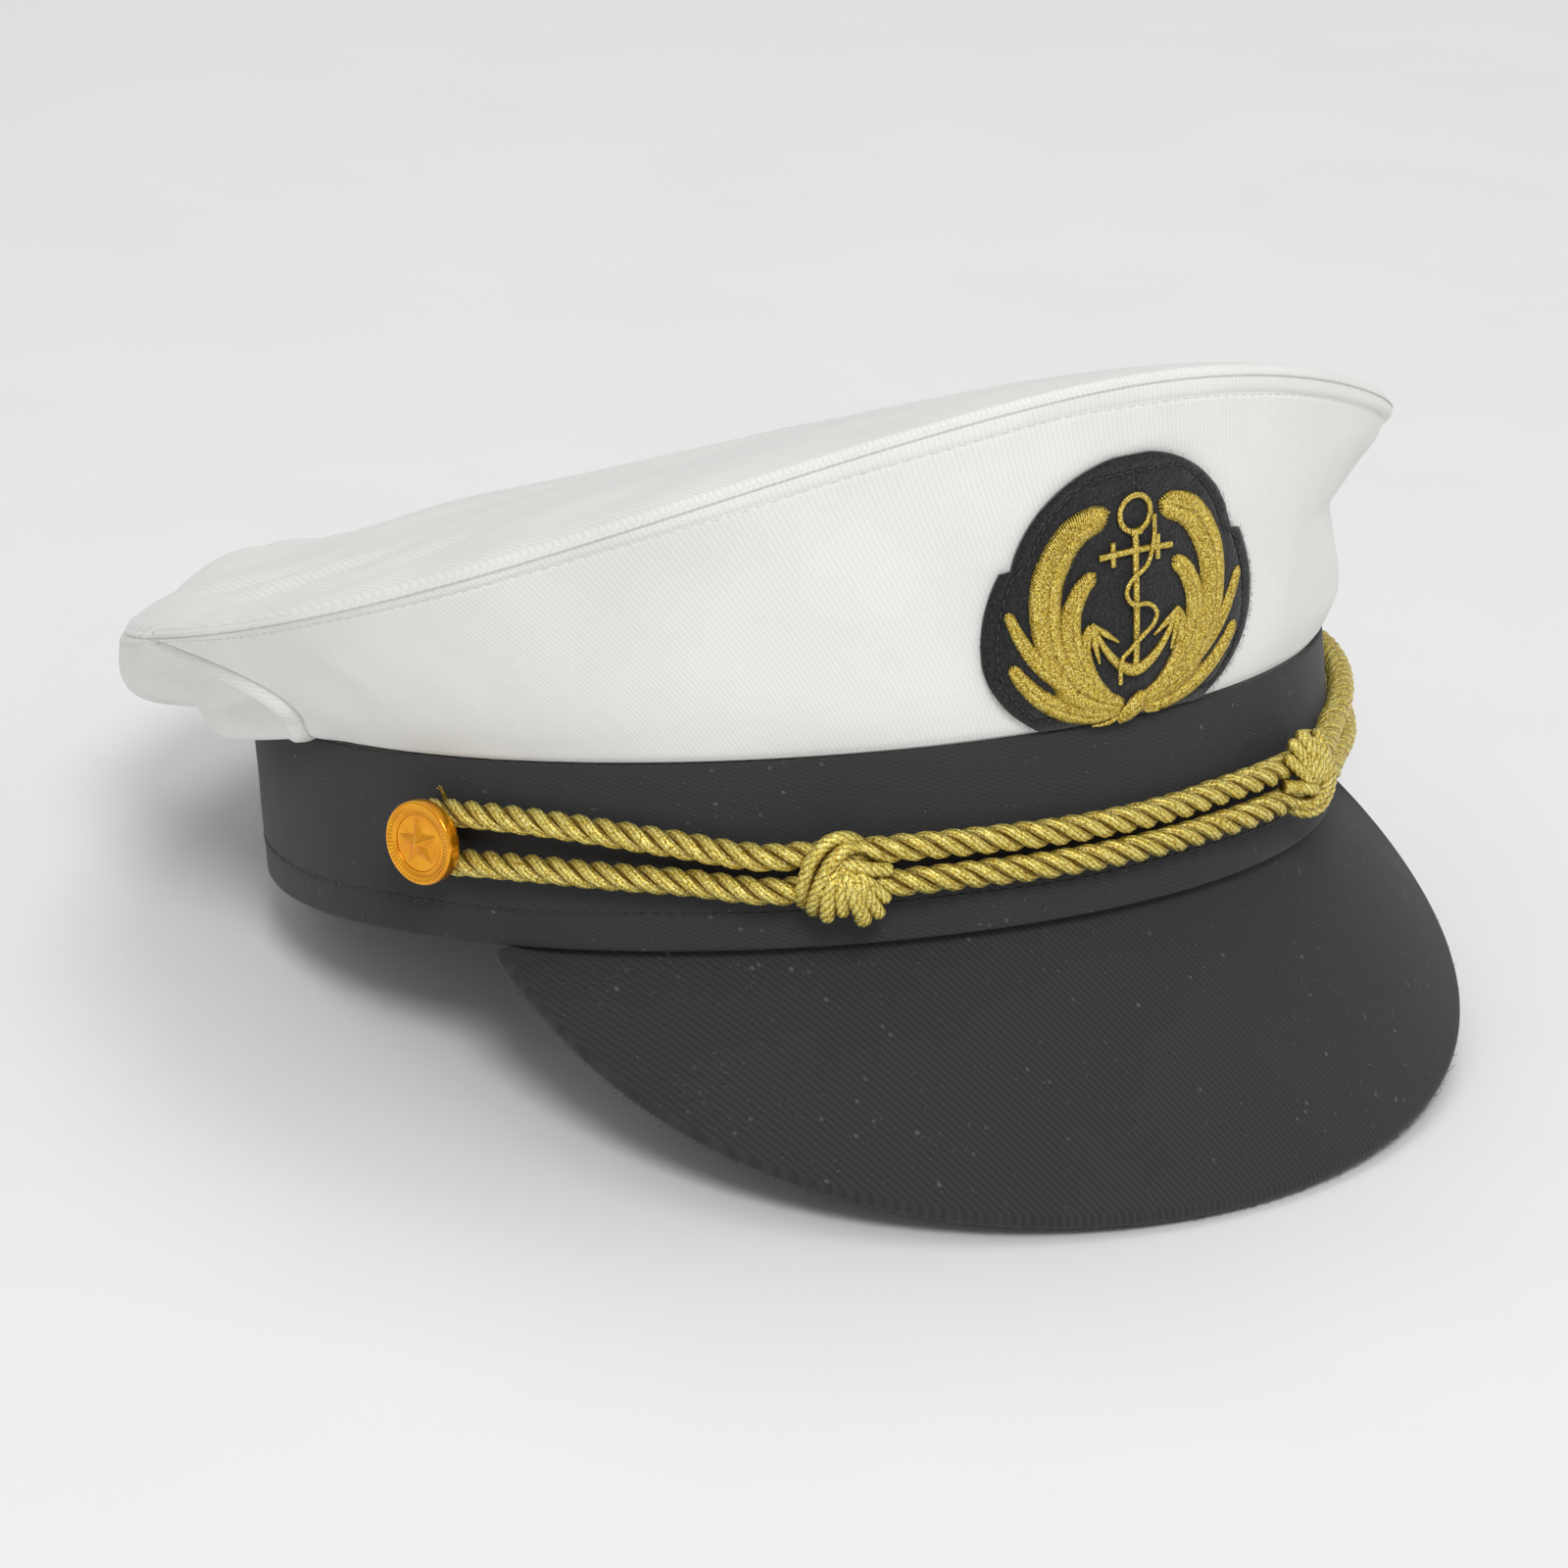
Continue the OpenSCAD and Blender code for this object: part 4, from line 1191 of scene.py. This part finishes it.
def make_felt():
    """The felt backing, with soft cut edges and a groove under its running stitch."""
    piece = Piece("badge_felt")
    heights = (spaced(0.6, 0.9, 2) + spaced(1.2, 31.0, 44) + [31.1, 31.2, 31.3]
               + spaced(31.5, 45.4, 22) + [45.7, 45.9, 46])
    rows = []
    for across in spaced(-1, 1, 56):
        outer, inner = [], []
        for y in heights:
            x = math.sin(across * math.pi / 2) * badge_edge(y)
            near = min(badge_edge(y) - abs(x), y - 0.6, 46 - y)
            fall = 0.35 * (1 - smooth(near / 0.8))
            q = Vector((x, y, 0))
            nap = 0.10 * rough(q, 1.6, 15) + 0.12 * rough(q, 6, 16)
            seam = 0.25 * bump_at(near, STITCH_IN, 0.7)
            outer.append(badge_point(x, y, FELT_T + 0.2 - fall + nap - seam))
            inner.append(badge_point(x, y, 0.25))
        rows.append(outer + inner[::-1])
    piece.slab(rows, lambda i, j: (i, heights[out_and_back(j, len(heights))]))
    piece.build("root", FELT, ["badge_backing"])


def badge_outline(inset):
    """Points round the felt, inset millimetres inside its edge."""
    half = [(badge_edge(y) - inset, y) for y in spaced(3.2, 30.2, 18) + spaced(32.2, 43.2, 10)]
    arch = [(badge_edge(43.2) - inset) * cos_d(a) for a in range(15, 90, 15)]
    crest = [(x, 43.2 + 0.5 * sin_d(a)) for x, a in zip(arch, range(15, 90, 15))]
    right = [(x, 3.0) for x in (6, 12, 18)] + half + crest
    return right + [(-x, y) for x, y in reversed(right)] + right[:1]


def make_badge_trim():
    stitches = Piece("badge_running_stitch")
    line = curve_through([(x, y, 0) for x, y in badge_outline(STITCH_IN)], 0.5)

    def along(w):
        q = value_along(line, w)
        return badge_point(q.x, q.y, FELT_T + 0.1), badge_out(q.x, q.y)

    stitch_row(stitches, along, 78, 0.7, 0.2, 0.1)
    stitches.build("root", BLACK_THREAD)
    fuzz = Piece("badge_fibres")
    for _ in range(700):
        y = random.uniform(0.8, 45.6)
        side = random.choice((-1, 1))
        x = side * (badge_edge(y) - abs(random.gauss(0, 0.5)))
        out = (badge_out(x, y) + Vector((side * 0.8, 0, 0.5 * (y > 31)))).normalized()
        fibre(fuzz, badge_point(x, y, FELT_T + 0.1), out, random.uniform(0.3, 0.9), LINT_R)
    fuzz.build("root", FELT)


def strand(piece, start, stop, arch, size):
    """One satin stitch between two badge points (x, y, lift), arched over the padding."""
    line, outs = [], []
    for w in spaced(0, 1, 5):
        x, y, z = (mix(a, b, w) for a, b in zip(start, stop))
        line.append(badge_point(x, y, z + arch * math.sin(math.pi * w)))
        outs.append(badge_out(x, y))
    piece.tube(line, outs, size, 6)


def satin_leaf(piece, points, widths, lift, hand):
    """Padding under two rows of slanting stitches that meet along the leaf's spine."""
    line = curve_through([(hand * x, y, 0) for x, y in points], THREAD_STEP)
    last = len(line) - 1
    tip_len = widths[-1] * 0.75

    def full(w):
        """1 along the leaf, falling to 0 over its rounded tip."""
        beyond = clamp((w - 1) * last * THREAD_STEP / tip_len + 1)
        return math.sqrt(1 - 0.99 * beyond ** 2)

    base = FELT_T + 0.2 + lift * 0.5
    piece.tube([badge_point(q.x, q.y, base + 0.2) for q in line[::3]],
               [badge_out(q.x, q.y) for q in line[::3]],
               lambda w: value_along(widths, w) * 0.44 * full(w), 10, squash=0.32)
    for k, q in enumerate(line):
        ahead = (line[min(k + 1, last)] - line[max(k - 1, 0)]).normalized()
        side = Vector((-ahead.y, ahead.x, 0))
        wide = value_along(widths, k / last) / 2
        slant = min(wide * 0.8, 1.6, (last - k) * THREAD_STEP)
        wide *= full(k / last + slant / (last * THREAD_STEP))
        ridge = base + 0.25 + wide * 0.28
        for edge in (-1, 1):
            jitter = random.uniform(-0.06, 0.06)
            tip = q + side * (edge * (wide + jitter)) + ahead * slant
            strand(piece, (q.x, q.y, ridge), (tip.x, tip.y, base - 0.1), wide * 0.16,
                   random.uniform(0.17, 0.21))


def make_wreath(name, hand, node):
    piece = Piece(name)
    for points, widths, lift in LEAVES:
        satin_leaf(piece, points, widths, lift, hand)
    piece.build("root", THREAD_GOLD, [node])


def corded_line(piece, points, size, lift, pitch=0.42):
    """A narrow bar wrapped in thread: each wrap shows as a small bulge."""
    line = curve_through([(x, y, 0) for x, y in points], 0.12)
    path = [badge_point(q.x, q.y, FELT_T + lift) for q in line]
    length = distances(path)[-1]
    sizes = size if isinstance(size, tuple) else (size, size)

    def radius(w):
        wrap = abs(math.sin(math.pi * w * length / pitch))
        return value_along(sizes, w) * (0.86 + 0.18 * wrap)

    piece.tube(path, [badge_out(q.x, q.y) for q in line], radius, 10, squash=0.8)


def make_anchor():
    piece = Piece("badge_anchor_stitches")
    corded_line(piece, [(0, 10), (0, 22), (0, 34.4)], 0.62, 0.75)
    corded_line(piece, [(-7.3, 30.7), (0, 30.9), (7.3, 30.7)], 0.56, 0.95)
    ring = [(3 * sin_d(a), 37 + 3 * cos_d(a)) for a in range(180, 541, 20)]
    corded_line(piece, ring, 0.52, 0.7)
    corded_line(piece, [(-1.1, 34), (1.1, 34)], 0.6, 0.9)
    corded_line(piece, [(-9.2, 19.6), (-6.6, 14.6), (-3.4, 11.2), (0, 9.8), (3.4, 11.2),
                        (6.6, 14.6), (9.2, 19.6)], (0.3, 0.6, 0.85, 1.15, 0.85, 0.6, 0.3), 0.7)
    for hand in (-1, 1):
        corded_line(piece, [(hand * 4.5, 28.7), (hand * 4.5, 32.9)], 0.5, 0.8)
        for x, y in ((7.8, 12.2), (3.8, 15.4)):
            middle = (hand * (mix(9.2, x, 0.5) + 0.2), mix(19.6, y, 0.5))
            corded_line(piece, [(hand * 9.2, 19.6), middle, (hand * x, y)], (0.3, 0.62, 0.2), 0.85)
    piece.build("root", THREAD_GOLD, ["badge_anchor"])


def make_rope_and_tie():
    rope = Piece("badge_rope_thread")
    corded_line(rope, ROPE_LINE, 0.42, 1.5, pitch=0.6)
    rope.build("root", THREAD_GOLD, ["badge_rope"])
    tie = Piece("badge_tie_stitches")
    satin_leaf(tie, [(-3, 0.9), (-1, 2.2), (1.2, 3.6), (3, 5)], (1.6, 3.8, 3.8, 1.6), 1.6, 1)
    corded_line(tie, [(-2, 2), (-5, 0.8), (-8.4, 0.7)], (0.5, 0.4, 0.18), 0.9)
    corded_line(tie, [(2, 3), (4, 1.6), (6.8, 1.2)], (0.5, 0.4, 0.18), 0.9)
    tie.build("root", THREAD_GOLD, ["badge_tie"])


make_felt()
make_badge_trim()
make_wreath("badge_wreath_right_stitches", -1, "badge_wreath_right")
make_wreath("badge_wreath_left_stitches", 1, "badge_wreath_left")
make_anchor()
make_rope_and_tie()


# ---------- pieces kept from the CAD: hidden boards ----------
for node in ("band_stiffener", "visor_board"):
    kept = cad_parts[node]
    kept.data.materials.clear()
    kept.data.materials.append(STIFFENER)


# ---------- floor and light ----------
# Half the floor's side and its height, in metres
FLOOR_HALF, FLOOR_Z = 3.0, -0.0005
LIT_POINT = Vector((0, 0, 0.06))


def make_floor():
    mesh = bpy.data.meshes.new("floor")
    corners = ((-1, -1), (1, -1), (1, 1), (-1, 1))
    mesh.from_pydata([(x * FLOOR_HALF, y * FLOOR_HALF, FLOOR_Z) for x, y in corners], [],
                     [(0, 1, 2, 3)])
    floor = put("floor", mesh)
    shader = Shader("floor_paper", roughness=0.9)
    paper = shader.ramp(shader.cloud(60), (0.2, (0.93, 0.93, 0.93)), (0.8, (0.96, 0.96, 0.96)))
    shader.colour(paper)
    mesh.materials.append(shader.material)


def area_light(name, place, size, power):
    data = bpy.data.lights.new(name, "AREA")
    data.shape, data.size, data.energy = "DISK", size, power
    lamp = put(name, data)
    lamp.location = place
    lamp.rotation_euler = (Vector(place) - LIT_POINT).to_track_quat("Z", "Y").to_euler()


make_floor()
area_light("key_light", (-0.7, -1.3, 1.5), 0.7, 17)
area_light("top_light", (0.5, 0.6, 1.7), 1.0, 6)
area_light("fill_light", (1.6, -0.9, 0.6), 0.8, 2)
world = bpy.data.worlds.new("studio")
world.use_nodes = True
backdrop = world.node_tree.nodes["Background"]
backdrop.inputs["Color"].default_value = (1, 1, 1, 1)
backdrop.inputs["Strength"].default_value = 0.46
bpy.context.scene.world = world
bpy.context.scene.view_settings.view_transform = "Standard"
